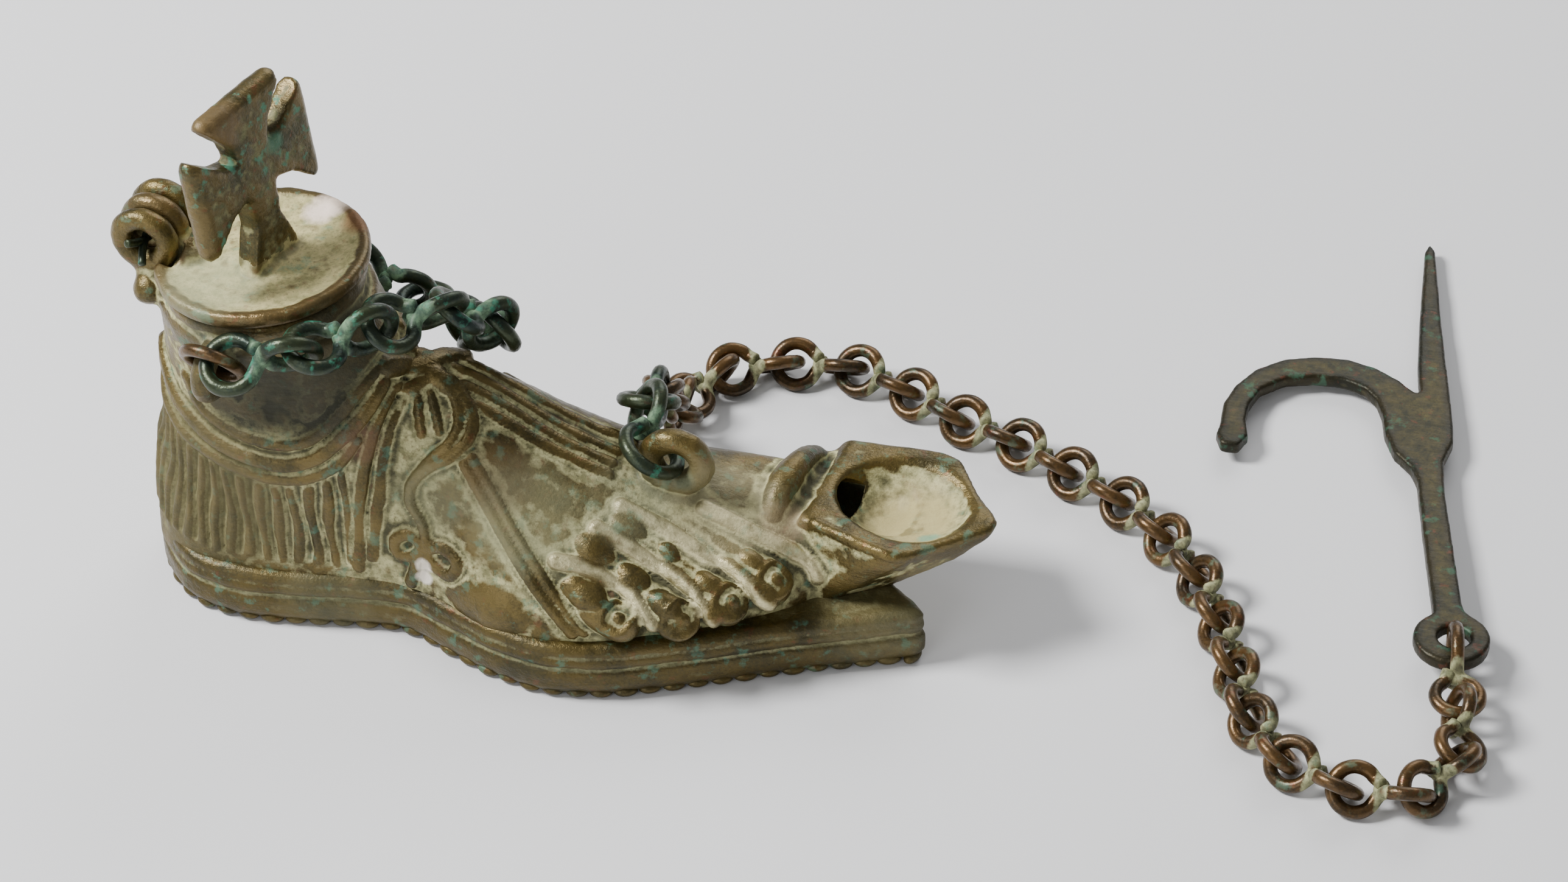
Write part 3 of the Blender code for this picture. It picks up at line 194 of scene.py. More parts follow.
RIM_PLACE = (25.5, 0.0, 71.2)
INSTEP_RING = (103.0, 0.5)
NOZZLE_BASE = (129.0, 13.5)
NOZZLE_TURN = math.radians(-9)
NOZZLE_TOP = 28.0
NOZZLE_LENGTH = 34.5
NOZZLE_SHOULDER = 20.0
NOZZLE_HALF = 16.0
NOZZLE_BACK_HALF = 12.6
WICK_LENGTH, WICK_WIDTH, WICK_DEPTH = 27.0, 23.5, 9.5

# %% Sections of the foot: distance, outer edge, inner edge, crest, height of the crest
FOOT = [
    (1.5, -3.0, 3.0, 0.0, 22.0), (2.4, -7.0, 7.0, 0.0, 30.0), (5.0, -11.5, 11.5, 0.0, 37.0),
    (9.0, -15.2, 15.2, 0.0, 42.0), (14.0, -17.6, 17.4, 0.0, 46.0), (22.0, -18.7, 18.4, 0.0, 47.0),
    (34.0, -18.4, 18.2, 0.0, 48.0), (45.0, -17.2, 17.4, 0.5, 51.0), (54.0, -17.0, 17.2, 1.0, 52.5),
    (62.0, -19.6, 18.0, 2.0, 51.0), (70.0, -23.0, 19.5, 3.0, 47.2), (78.0, -25.6, 21.0, 4.0, 42.2),
    (85.0, -26.2, 22.0, 5.0, 38.4), (92.0, -25.0, 22.6, 6.0, 35.5), (100.0, -22.0, 23.0, 8.0, 32.5),
    (110.0, -17.5, 23.6, 10.0, 31.0), (120.0, -12.0, 24.0, 12.0, 29.5), (128.0, -6.0, 23.5, 12.5, 27.0),
    (134.0, 0.0, 21.0, 12.0, 21.0),
]
# The leg by height: height, back, front, half width
LEG = [
    (14.0, 3.0, 58.0, 17.5), (28.0, 3.0, 58.0, 18.0), (40.0, 4.4, 56.0, 18.0), (50.0, 5.4, 53.0, 17.8),
    (58.0, 5.8, 49.5, 18.0), (64.0, 5.8, 46.5, 18.6), (70.0, 5.6, 45.6, LEG_TOP_HALF),
]
# The sole's outline: outer edge forwards, the square front, inner edge back
SOLE_OUTLINE = [
    (1.0, 0), (2.2, -6.3), (6, -12.8), (11.5, -18.1), (19, -20.5), (33, -20.2), (45, -18.4), (54, -17.9),
    (62, -21.2), (74, -26.1), (84, -28.1), (94, -26.8), (108, -21.6), (128, -12.6), (147, -4.9),
    (150.6, -3.2), (151.4, -1.8), (150.4, -0.2), (145, 4.5), (137, 12.5), (129, 18.6), (119, 23.2),
    (107, 25.6), (92, 25.2), (76, 22), (62, 19.2), (52, 18.6), (42, 19.2), (30, 20.2), (19, 20.4),
    (11.5, 18.1), (6, 12.8), (2.2, 6.3),
]


# %% [markdown]
# ## Small helpers for free forms
# A loft joins rings of points into a closed skin, a limb is a round bar along a path,
# and a curve through table rows gives smooth values between them. With these the whole
# figure can be roughed out, as a modeller would in wax, before anything is carved.

# %% Smooth values and paths
def fx(x):
    """The world X of a place given in units from the back of the heel."""
    return (x - HEEL_TO_ORIGIN) * U


def curve_through(rows, at):
    """Smooth values between table rows: the first column is the parameter."""
    rows = np.asarray(rows, float)
    s = rows[:, 0]
    slopes = np.gradient(rows[:, 1:], s, axis=0)
    at = np.clip(np.asarray(at, float), s[0], s[-1])
    i = np.clip(np.searchsorted(s, at) - 1, 0, len(s) - 2)
    h = (s[i + 1] - s[i])[:, None]
    t = ((at - s[i]) / h[:, 0])[:, None]
    a, b = rows[i, 1:], rows[i + 1, 1:]
    return ((2 * t**3 - 3 * t**2 + 1) * a + (t**3 - 2 * t**2 + t) * h * slopes[i]
            + (3 * t**2 - 2 * t**3) * b + (t**3 - t**2) * h * slopes[i + 1])


def smooth_path(points, step):
    """A smooth line through a few points, cut into even steps."""
    pts = np.asarray(points, float)
    reach = np.r_[0, np.cumsum(np.linalg.norm(np.diff(pts, axis=0), axis=1))]
    count = max(2, int(round(reach[-1] / step)) + 1)
    return curve_through(np.c_[reach, pts], np.linspace(0, reach[-1], count))


def at(x, y, z):
    """A place given in units from the heel, in metres."""
    return (fx(x), y * U, z * U)


def in_units(points):
    """Points in units from the heel as places in metres."""
    pts = np.asarray(points, float) * U
    pts[:, 0] -= HEEL_TO_ORIGIN * U
    return pts


# %% Closed skins
def new_mesh(name, bm, matrix=None):
    bmesh.ops.recalc_face_normals(bm, faces=bm.faces)
    if matrix is not None:
        bm.transform(matrix)
    mesh = bpy.data.meshes.new(name)
    bm.to_mesh(mesh)
    bm.free()
    return mesh


def new_object(name, mesh):
    obj = bpy.data.objects.new(name, mesh)
    bpy.context.scene.collection.objects.link(obj)
    return obj


def loft(name, rings, closed=False, matrix=None):
    """A skin through rings of equal length, capped at both ends or closed to a loop."""
    bm = bmesh.new()
    rows = [[bm.verts.new(p) for p in ring] for ring in rings]
    n = len(rows[0])
    pairs = list(zip(rows, rows[1:])) + ([(rows[-1], rows[0])] if closed else [])
    for a, b in pairs:
        for i in range(n):
            j = (i + 1) % n
            bm.faces.new((a[i], a[j], b[j], b[i]))
    if not closed:
        bm.faces.new(rows[0][::-1])
        bm.faces.new(rows[-1])
    return new_mesh(name, bm, matrix)


def limb(name, path, radii, sides=20):
    """A round-ended bar along a path, with a radius at each point."""
    path, radii = np.asarray(path, float), np.asarray(radii, float)
    tangent = np.gradient(path, axis=0)
    tangent /= np.linalg.norm(tangent, axis=1)[:, None]
    up = np.array([0, 0, 1.0]) if abs(tangent[:, 2]).max() < 0.9 else np.array([0, 1.0, 0])
    caps = []
    for end, way in ((0, -1), (-1, 1)):
        out, radius = way * tangent[end], radii[end]
        caps.append([(path[end] + out * radius * math.cos(a), radius * math.sin(a), tangent[end])
                     for a in np.radians((8, 28, 48, 68, 88))])
    stations = caps[0] + list(zip(path, radii, tangent)) + caps[1][::-1]
    rings = []
    for centre, radius, along in stations:
        side = np.cross(along, up)
        side /= np.linalg.norm(side)
        over = np.cross(side, along)
        rings.append([tuple(centre + radius * (math.cos(t) * side + math.sin(t) * over))
                      for t in np.linspace(0, 2 * math.pi, sides, endpoint=False)])
    return loft(name, rings)


def ring_mesh(name, matrix, radius, wire, around=72, sides=24):
    """A round ring lying in its own XY plane, then placed by a matrix."""
    rings = []
    for a in np.linspace(0, 2 * math.pi, around, endpoint=False):
        rings.append([((radius + wire / 2 * math.cos(t)) * math.cos(a),
                       (radius + wire / 2 * math.cos(t)) * math.sin(a), wire / 2 * math.sin(t))
                      for t in np.linspace(0, 2 * math.pi, sides, endpoint=False)])
    return loft(name, rings, closed=True, matrix=matrix)


def lathe(name, profile, steps, matrix):
    """A turned solid from an open (radius, height) profile that ends on the axis."""
    bm = bmesh.new()
    verts = [bm.verts.new((r, 0, z)) for r, z in profile]
    edges = [bm.edges.new(pair) for pair in zip(verts, verts[1:])]
    bmesh.ops.spin(bm, geom=verts + edges, cent=(0, 0, 0), axis=(0, 0, 1), angle=2 * math.pi,
                   steps=steps, use_merge=True)
    bmesh.ops.remove_doubles(bm, verts=bm.verts, dist=0.01 * MM)
    return new_mesh(name, bm, matrix)


def ball_mesh(name, centre, radii, turn=None):
    """An egg-shaped lump."""
    bm = bmesh.new()
    bmesh.ops.create_icosphere(bm, subdivisions=3, radius=1)
    turn = turn or Matrix.Identity(4)
    return new_mesh(name, bm, Matrix.Translation(centre) @ turn @ Matrix.Diagonal((*radii, 1)))


def cylinder_mesh(name, start, end, radius, segments=48):
    start, end = Vector(start), Vector(end)
    bm = bmesh.new()
    bmesh.ops.create_cone(bm, cap_ends=True, segments=segments, radius1=radius, radius2=radius,
                          depth=(end - start).length)
    turn = Vector((0, 0, 1)).rotation_difference(end - start).to_matrix().to_4x4()
    return new_mesh(name, bm, Matrix.Translation((start + end) / 2) @ turn)


def frame_matrix(origin, x_axis, y_axis):
    """A matrix from an origin and two axes, made square to each other."""
    x = Vector(x_axis).normalized()
    z = x.cross(Vector(y_axis)).normalized()
    m = Matrix((x, z.cross(x), z)).transposed().to_4x4()
    m.translation = origin
    return m


# %% Fusing and cutting
def bake(obj):
    """Apply an object's modifiers by replacing its mesh with the evaluated one."""
    mesh = bpy.data.meshes.new_from_object(obj.evaluated_get(bpy.context.evaluated_depsgraph_get()))
    obj.modifiers.clear()
    old = obj.data
    obj.data = mesh
    bpy.data.meshes.remove(old)
    return obj


def merged(meshes):
    """Several meshes as one bmesh, in place of the meshes."""
    bm = bmesh.new()
    for mesh in meshes:
        bm.from_mesh(mesh)
        bpy.data.meshes.remove(mesh)
    return bm


def reskin(obj, voxel):
    """Melt all that overlaps in an object into one closed skin."""
    skin = obj.modifiers.new("skin", "REMESH")
    skin.mode = "VOXEL"
    skin.voxel_size = voxel
    return bake(obj)


def fused(name, meshes, voxel):
    """One closed skin round several overlapping solids."""
    bm = merged(meshes)
    mesh = bpy.data.meshes.new(name)
    bm.to_mesh(mesh)
    bm.free()
    return reskin(new_object(name, mesh), voxel)


def cut(obj, meshes):
    """Cut solids out of an object, one after another."""
    for mesh in meshes:
        tool = new_object("tool", mesh)
        step = obj.modifiers.new("cut", "BOOLEAN")
        step.operation = "DIFFERENCE"
        step.solver = "EXACT"
        step.object = tool
        bake(obj)
        bpy.data.objects.remove(tool)
        bpy.data.meshes.remove(mesh)
    return obj


# %% Reading and writing a mesh's points as arrays, and averaging over neighbours
def points_of(mesh, what="co"):
    values = np.empty(len(mesh.vertices) * 3, np.float32)
    mesh.vertices.foreach_get(what, values)
    return values.reshape(-1, 3).astype(float)


def set_points(mesh, points):
    mesh.vertices.foreach_set("co", points.astype(np.float32).ravel())
    mesh.update()


def neighbours(mesh):
    edges = np.empty(len(mesh.edges) * 2, np.int32)
    mesh.edges.foreach_get("vertices", edges)
    edges = edges.reshape(-1, 2)
    return edges, np.maximum(np.bincount(edges.ravel(), minlength=len(mesh.vertices)), 1)


def average(values, mesh_edges, rounds):
    """Each point's value averaged with its neighbours', several times over."""
    edges, degree = mesh_edges
    values = values.copy()
    count = len(degree)
    for _ in range(rounds):
        total = np.empty_like(values)
        for axis in range(values.shape[1]):
            column = values[:, axis]
            total[:, axis] = (np.bincount(edges[:, 0], column[edges[:, 1]], count)
                              + np.bincount(edges[:, 1], column[edges[:, 0]], count))
        values = (values + total) / (degree[:, None] + 1)
    return values


def relax(obj, rounds):
    """Take the steps of the voxels out of a fused skin."""
    mesh = obj.data
    set_points(mesh, average(points_of(mesh), neighbours(mesh), rounds))


def seen_from(frame_here, points):
    """Points in a frame's own coordinates."""
    back = frame_here.inverted()
    return points @ np.array(back.to_3x3()).T + np.array(back.translation)


def grain(points, size, seed):
    """Smooth random values, with lumps of about that size."""
    shift = Vector((seed * 7.1, seed * 3.7, seed * 5.3))
    return np.array([noise.noise(Vector(p) / size + shift) for p in points])


# %% [markdown]
# ## Patina needs to know where the metal is worn
# On old bronze the high places are rubbed brown and shiny, and the low places keep a
# pale powder of earth and copper salts. So each mesh gets an attribute named wear: how
# far a point stands above the average of its surroundings, taken at two sizes.

# %% The wear attribute
def mark_wear(obj, fine=(3, 0.045 * MM), broad=(24, 0.30 * MM), extra=None):
    """Write how proud each point stands: 0 in a crevice, 0.5 on the flat, 1 on an edge."""
    mesh = obj.data
    points, normal, edges = points_of(mesh), points_of(mesh, "normal"), neighbours(mesh)
    wear = np.zeros(len(points))
    for (rounds, scale), share in ((fine, 0.4), (broad, 0.6)):
        proud = ((points - average(points, edges, rounds)) * normal).sum(1)
        wear += share * np.tanh(proud / scale)
    if extra is not None:
        wear += extra
    wear = average(wear[:, None], edges, 1)[:, 0]
    layer = mesh.attributes.new("wear", "FLOAT", "POINT")
    layer.data.foreach_set("value", np.clip(0.5 + wear * 0.5, 0, 1).astype(np.float32))


def dress(obj, *bronzes, **wear):
    """Mark a piece's wear, give it its bronzes and shade it smoothly."""
    mark_wear(obj, **wear)
    obj.data.materials.clear()
    for bronze in bronzes:
        obj.data.materials.append(bronze)
    obj.data.shade_smooth()


# %% [markdown]
# ## The casting, roughed out
# Foot, leg, nozzle, toes, lugs and hinge rings overlap as plain solids, and a voxel
# remesh melts them into one skin, the way wax parts are joined before casting.

# %% Foot and leg
def foot_rings(inset=0.0, steps=90, sides=72, floor=8.0, lowest=0.0):
    """Rings across the foot, from heel to toes, each moved inwards by inset units."""
    first, last = FOOT[0][0] + inset, FOOT[-1][0] - inset
    along = first + (last - first) * (1 - np.cos(np.linspace(0, math.pi, steps))) / 2
    rings = []
    for x, (outer, inner, crest, top) in zip(along, curve_through(FOOT, along)):
        outer, inner, top = outer + inset, inner - inset, top - inset
        crest = min(max(crest, outer + 1), inner - 1)
        ring = []
        for k in range(sides):
            a = 2 * math.pi * k / sides
            c, s = math.cos(a), math.sin(a)
            side = (inner - crest) if c > 0 else (crest - outer)
            y = crest + side * math.copysign(abs(c) ** 0.85, c)
            z = floor + (top - floor) * s**1.15 if s > 0 else floor + 3 * s
            ring.append((fx(x), y * U, max(z, lowest) * U))
        rings.append(ring)
    return rings


def leg_rings(inset=0.0, low=14.0, high=70.0, steps=30, sides=72):
    """Level rings up the leg."""
    heights = np.linspace(low, high, steps)
    rings = []
    for z, (back, front, half) in zip(heights, curve_through(LEG, heights)):
        back, front, half = back + inset, front - inset, half - inset
        mid, length = (back + front) / 2, (front - back) / 2
        ring = []
        for k in range(sides):
            a = 2 * math.pi * k / sides
            c, s = math.cos(a), math.sin(a)
            x = mid + length * math.copysign(abs(c) ** 0.95, c)
            ring.append((fx(x), half * math.copysign(abs(s) ** 0.95, s) * U, z * U))
        rings.append(ring)
    return rings


# %% Rim of the leg and the hinge's shelf and outer rings
def lid_frame():
    """The rim's plane: its centre at the origin, +X towards the toes, hinge on -X."""
    x, y, z = RIM_PLACE
    return (Matrix.Translation((fx(x), y * U, z * U)) @ Matrix.Rotation(LID_TURN, 4, "Z")
            @ Matrix.Rotation(-LID_TILT, 4, "Y"))


def hinge_point(across=0.0):
    return lid_frame() @ Vector((-HINGE_BACK, across, HINGE_RISE))


def hinge_ring(across):
    """One loop of the hinge, its hole along the hinge axis."""
    turn = lid_frame().to_3x3()
    m = frame_matrix(hinge_point(across), turn @ Vector((1, 0, 0)), turn @ Vector((0, 0, 1)))
    return ring_mesh("hinge_ring", m, KNUCKLE_RADIUS, KNUCKLE_WIRE)


def rim_meshes():
    """The out-turned mouth of the leg, and the shelf and posts that carry the hinge."""
    r = LID_RADIUS
    frame_here = lid_frame()
    profile = [(0, -13 * MM), (r - 3.2 * MM, -12 * MM), (r - 2.7 * MM, -8 * MM), (r - 2.2 * MM, -5.0 * MM),
               (r - 1.5 * MM, -2.6 * MM), (r - 1.1 * MM, -1.2 * MM), (r - 1.5 * MM, 0), (0, 0)]
    yield lathe("rim", profile, 96, frame_here)
    half = KNUCKLE_PITCH + KNUCKLE_WIRE / 2
    path = [frame_here @ Vector((-r - 0.6 * MM, y, -3.4 * MM)) for y in np.linspace(-half, half, 9)]
    yield limb("shelf", path, [3.2 * MM] * 9)
    for side in (-1, 1):
        post = [frame_here @ Vector((-HINGE_BACK - 0.6 * MM, side * KNUCKLE_PITCH, z * MM))
                for z in (-4, -2, 0, 1.2)]
        yield limb("post", post, [2.4 * MM, 2.4 * MM, 2.3 * MM, 2.1 * MM])
        yield hinge_ring(side * KNUCKLE_PITCH)


# %% Lugs and the instep ring
def ankle_lug_frames():
    """The places of the two chain lugs on the leg, and their outward directions."""
    x, y, top = RIM_PLACE
    height = top - LUG_DROP
    half = curve_through(LEG, [height])[0][2]
    for side in (-1, 1):
        turn = Matrix.Rotation(LUG_TURN, 3, "Z") @ Vector((0, side, 0))
        yield side, Vector((fx(x), y * U, height * U)) + turn * (half * U + LUG_PROUD), turn


def instep_ring_frame():
    """The ring's own frame: it stands on the crest of the instep, sunk in a little."""
    x, y = INSTEP_RING
    crest = curve_through(FOOT, [x])[0][3] * U
    z = crest + INSTEP_RING_RADIUS + INSTEP_RING_WIRE / 2 - INSTEP_RING_SINK
    return frame_matrix((fx(x), y * U, z), (1, 0, 0), (0, 0, 1))


def ring_meshes():
    for _, place, outward in ankle_lug_frames():
        yield ring_mesh("lug", frame_matrix(place, outward, (0, 0, 1)), LUG_RADIUS, LUG_WIRE * 1.8)
    yield ring_mesh("instep", instep_ring_frame(), INSTEP_RING_RADIUS, INSTEP_RING_WIRE)


# %% Toes: points along each from the smallest, with the radius there
TOES = [
    [(84, -17, 21, 3.4), (90, -20, 19, 3.9), (98, -22.5, 16.6, 3.7)],
    [(88, -12, 25.5, 3.2), (92, -13, 24.5, 3.2), (98, -15.5, 21, 3.4), (108, -19.5, 16.8, 4.1)],
    [(93, -7.5, 28, 3.0), (103, -10, 24, 3.3), (109, -12, 21, 3.5), (116, -14.5, 17.8, 4.1)],
    [(104, -3, 25.6, 3.2), (113, -5, 23, 3.7), (123, -8.5, 19, 4.3)],
]


def toe_meshes():
    for number, toe in enumerate(TOES):
        dense = smooth_path(toe, 1.5)
        path = in_units(dense[:, :3])
        yield limb("toe_%d" % (5 - number), path, dense[:, 3] * U)
    path = smooth_path([(126, 24, 19), (125, 22, 25), (123.5, 16, 29), (122, 9, 29.5), (121, 4, 28),
                        (120.5, 1, 25)], 1.5)
    swell = np.interp(np.linspace(0, 1, len(path)), [0, 0.3, 0.7, 1], [2.0, 2.3, 3.2, 2.2]) * U
    yield limb("toe_thong", in_units(path), swell)


# %% Nozzle and wick bowl
def nozzle_frame():
    x, y = NOZZLE_BASE
    return Matrix.Translation((fx(x), y * U, 0)) @ Matrix.Rotation(NOZZLE_TURN, 4, "Z")


def nozzle_plan(back, front, width):
    """The six-sided plan of the nozzle, each side cut in three."""
    shoulder = back + (front - back) * NOZZLE_SHOULDER / NOZZLE_LENGTH
    corners = [(back, NOZZLE_BACK_HALF * width), (shoulder - 2, NOZZLE_HALF * width),
               (shoulder + 2, (NOZZLE_HALF - 1) * width), (front - 0.5, 1.4 * width),
               (front - 0.5, -1.4 * width), (shoulder + 2, -(NOZZLE_HALF - 1) * width),
               (shoulder - 2, -NOZZLE_HALF * width), (back, -NOZZLE_BACK_HALF * width)]
    return [(s0 + (s1 - s0) * t, w0 + (w1 - w0) * t)
            for (s0, w0), (s1, w1) in zip(corners, corners[1:] + corners[:1]) for t in (0, 1 / 3, 2 / 3)]


def nozzle_mesh():
    """The spout: a narrow keel above the sole that widens to a flat top."""
    levels = [(11.0, -12, 15.5, 0.60, -6.5), (14.0, -12, 19.0, 0.66, -5.6), (17.0, -10, 24.0, 0.74, -4.2),
              (20.5, -8, 29.0, 0.86, -2.2), (23.5, -5, 32.3, 0.96, -0.8), (25.5, -2, 33.8, 1.0, 0.0),
              (27.2, -1, 34.5, 1.0, 0.0), (NOZZLE_TOP, 0, 33.6, 0.96, 0.0)]
    here = nozzle_frame()
    return loft("nozzle", [[tuple(here @ Vector((s * U, (w + across) * U, z * U)))
                            for s, w in nozzle_plan(back, front, width)]
                           for z, back, front, width, across in levels])


def wick_bowls():
    """The deep round well at the back and the shallow spoon that runs out to the tip."""
    for along, length, width, depth, rise in ((11.5, 19, 19, WICK_DEPTH, 1.5),
                                              (16, WICK_LENGTH, WICK_WIDTH, 7.0, 1.6)):
        here = nozzle_frame() @ Matrix.Translation((along * U, 0, (NOZZLE_TOP + rise) * U))
        yield ball_mesh("wick_bowl", here.translation, (length / 2 * U, width / 2 * U, depth * U),
                        here.to_3x3().to_4x4())


def hollow_meshes():
    """The hollow of the lamp, the mouth of the leg and the wick's way in."""
    wall = WALL / U
    floor = SOLE_THICK / U + 2.5
    here, noz = lid_frame(), nozzle_frame()
    return [loft("hollow", foot_rings(wall, 24, 24, 10.5, floor)),
            loft("leg_hollow", leg_rings(wall, floor + 1, 62.0, 8, 32)),
            cylinder_mesh("mouth", here @ Vector((0, 0, -16 * MM)), here @ Vector((0, 0, 5 * MM)),
                          MOUTH_RADIUS),
            cylinder_mesh("tunnel", noz @ Vector((-16 * U, 0, 19.5 * U)), noz @ Vector((6 * U, 0, 22.5 * U)),
                          5.2 * U)]


# %% Melt them together
casting = fused("bronze_foot", [loft("foot", foot_rings()), loft("leg", leg_rings(high=66.0)), nozzle_mesh()]
                + list(rim_meshes()) + list(ring_meshes()) + list(toe_meshes()), CAST_VOXEL)
cut(casting, wick_bowls())
relax(reskin(casting, SKIN), 2)
points = points_of(casting.data)
local = seen_from(nozzle_frame(), points)
from_well = np.hypot((local[:, 0] / U - 16) / 15.5, local[:, 1] / U / 13.5)
worn = (np.clip((local[:, 0] / U - 12) / 6, 0, 1) * np.clip((local[:, 2] / U - 20) / 3, 0, 1)
        * np.clip((1.08 - from_well) / 0.12, 0, 1))[:, None]
set_points(casting.data, points * (1 - worn) + average(points, neighbours(casting.data), 16) * worn)
print("casting:", len(casting.data.polygons), "faces before carving")

# %% [markdown]
# ## Carving
# The sandal is drawn on the skin by lines: a few points each, a half width and a height.
# Every line is dropped onto the surface, and the skin rises or sinks along its own
# normal by how near it is to a line. Raised lines are straps and cords, sunk ones are
# the grooves between them. Pleats, nails and the hollow over the ankle follow rules.

# %% Straps and bands on the outer side, repeated on the inner side
BAND_INNER = [(13.5, -14, 54), (16, -15.8, 48.4), (21, -17.4, 45.6), (26.5, -18.2, 44.2), (32, -18.2, 43.6),
              (37.3, -17.4, 45), (42.4, -16, 49.3), (46.6, -11.6, 54.5), (49.5, -5, 57.4)]
BAND_MIDDLE = [(4, -4, 53), (7, -9, 50), (10.4, -12, 46.6), (15, -15.4, 43.4), (20.6, -17.2, 41),
               (26, -18.2, 39.8), (32, -18.5, 39.2), (38, -17.4, 41), (43.2, -15.8, 45.4),
               (47.7, -12.6, 50.2), (49.8, -8, 54)]
BAND_LOWER = [(3, -4, 46), (5, -8, 43), (8.2, -10.3, 41), (13, -14, 38.6), (19, -17.6, 37.2),
              (24.6, -18.8, 36), (31, -19, 35.4), (38, -18.2, 36.8), (42.4, -16.2, 39.6),
              (46, -14.4, 44.6)]
SIDE_LINES = [
    (BAND_INNER, 1.0, 0.9), (BAND_MIDDLE, 1.5, 1.3), (BAND_LOWER, 1.1, 1.0),
    ([(51.4, -6, 52), (49, -10.6, 47.5), (47.6, -13.6, 41), (46.3, -15.6, 31),
      (45.4, -16.8, 15)], 1.1, 0.8),
    ([(53.4, -5, 51), (52, -9.4, 47), (50.8, -12.4, 41), (49.4, -14.8, 31), (48, -16.4, 18)], 1.2, 0.7),
    ([(55, -4.4, 51), (56, -7.6, 48), (57, -10.4, 45)], 0.9, 0.6),
    ([(57, -3.6, 51.4), (59, -7, 48.4), (60.6, -9.6, 45.4)], 0.8, 0.6),
    ([(66, -13, 41.6), (70, -16, 37.2), (75, -19.4, 31), (80, -22.4, 25), (85, -24.2, 19.4),
      (89, -24.6, 14.5)], 1.2, 1.2),
    ([(67, -11.8, 42.4), (71.4, -14.6, 37.4), (77, -18.6, 31), (82, -21.6, 25.6), (87, -23.4, 19.4),
      (91, -24, 14.5)], 1.0, 1.0),
    ([(66.4, -12.4, 42), (70.6, -15.2, 37.4), (76, -19, 31), (81, -22, 25.4), (86, -23.8, 19.4),
      (90, -24.3, 14.5)], 0.5, -0.5),
    ([(52.4, -5.4, 51.6), (50.4, -10, 47.4), (49.2, -13, 41), (47.9, -15.2, 31),
      (46.7, -16.6, 16)], 0.5, -0.5),
    ([(56, -4, 51.2), (57.6, -7.4, 48), (58.8, -10, 45)], 0.45, -0.4),
    ([(58.4, -3.4, 51.4), (61, -6.6, 48.4), (62.6, -9, 46)], 0.45, -0.4),
]

# %% Lace, bow, knot, instep cords and toe ribs
LACE = [(60.8, -1.5, 52), (64, -4, 50), (66.2, -6.7, 47.5), (65.9, -9.9, 44.8), (63.3, -12.1, 42.2),
        (58.4, -13.6, 39.2), (55.7, -14.2, 35), (55.7, -15.7, 31.6), (58, -16.2, 28.5), (59.2, -17.4, 25)]
LACE_TWIN = [(59.4, -2.2, 51.6), (62.9, -5.4, 49), (63.8, -8.4, 47), (62.8, -10.8, 44.6),
             (59.6, -12.4, 41.4), (56.6, -13.6, 37.4)]
BOW = [
    ([(58.4, -17.4, 23.6), (55.4, -16.4, 24.8), (52.8, -16.2, 23), (53.2, -16.6, 20), (56, -17, 20.2),
      (58.2, -17.4, 22.6)], 1.25, 1.3),
    ([(58.8, -17.6, 22.8), (62.4, -18.2, 24.6), (65.9, -19.6, 22.8), (64.4, -19.6, 19.4),
      (60.8, -18.6, 20.2), (58.8, -17.8, 22.4)], 1.25, 1.3),
    ([(58, -17.6, 22), (56.6, -17.8, 17.5), (55.6, -17.9, 14)], 1.25, 1.1),
]
INSTEP_CORDS = [([(58, 5, 52), (70, 5, 47), (80, 6, 42), (91, 7, 36)], 1.1, 0.9),
                ([(60, 2, 51), (72, 2, 46), (80, 2, 42), (91, 3, 36)], 1.1, 0.9),
                ([(63, -1, 50), (73, -1, 46), (80, -1, 42), (91, 0, 36)], 1.1, 0.9),
                ([(66, -3.6, 48), (76, -3.8, 43), (84, -3.4, 39), (91, -2.8, 36)], 1.1, 0.8)]
KNOT = [([(49.6, -5.6, 56), (52, -3, 54.6), (55, 0, 53.8), (58, 4, 52.6), (60.5, 7.5, 51)], 2.0, 1.9),
        ([(52, 5, 55), (54.6, 1.8, 54.2), (57.4, -1.4, 53), (60, -2.6, 51.6)], 1.8, 1.7),
        ([(53.2, -6.4, 52.4), (56, -3.4, 52.6), (58.4, -0.4, 53)], 1.3, 1.3)]
TOE_RIBS = [([(84.8, -19.6, 27), (89.9, -18.7, 26), (95.2, -19, 23.4), (100, -20.6, 21),
              (103.4, -22, 17)], 1.5, 1.25),
            ([(91, -12.9, 30.5), (97, -13.3, 28), (103, -14.5, 24.6), (109.8, -16.7, 21.6),
              (114, -18.4, 17)], 1.55, 1.25),
            ([(94.7, -7.6, 32.4), (102.4, -8, 29.2), (111.7, -9.9, 24.6), (118.3, -11.2, 22),
              (123.6, -12.8, 18)], 1.55, 1.25),
            ([(109, -1.9, 29.8), (115.9, -2.8, 27.4), (122.7, -2.8, 24.2), (128.3, -1.6, 20.6),
              (131, -0.6, 17)], 1.6, 1.25)]
FOLD_LINES = [([(106, 12, 31.4), (106.5, 6, 32), (107, 1, 31)], 0.5, -0.35),
              ([(109.5, 13, 31), (110, 7, 31.4), (110.5, 2, 30.4)], 0.5, -0.35),
              ([(113, 13.5, 30.6), (113.5, 8, 31), (114, 3, 29.8)], 0.5, -0.35)]
NOZZLE_EDGE = [([(129.5, 0.6, 28), (134, -1.2, 28), (140, -3.4, 27.8), (146, -5, 27.4)], 1.0, 0.6)]
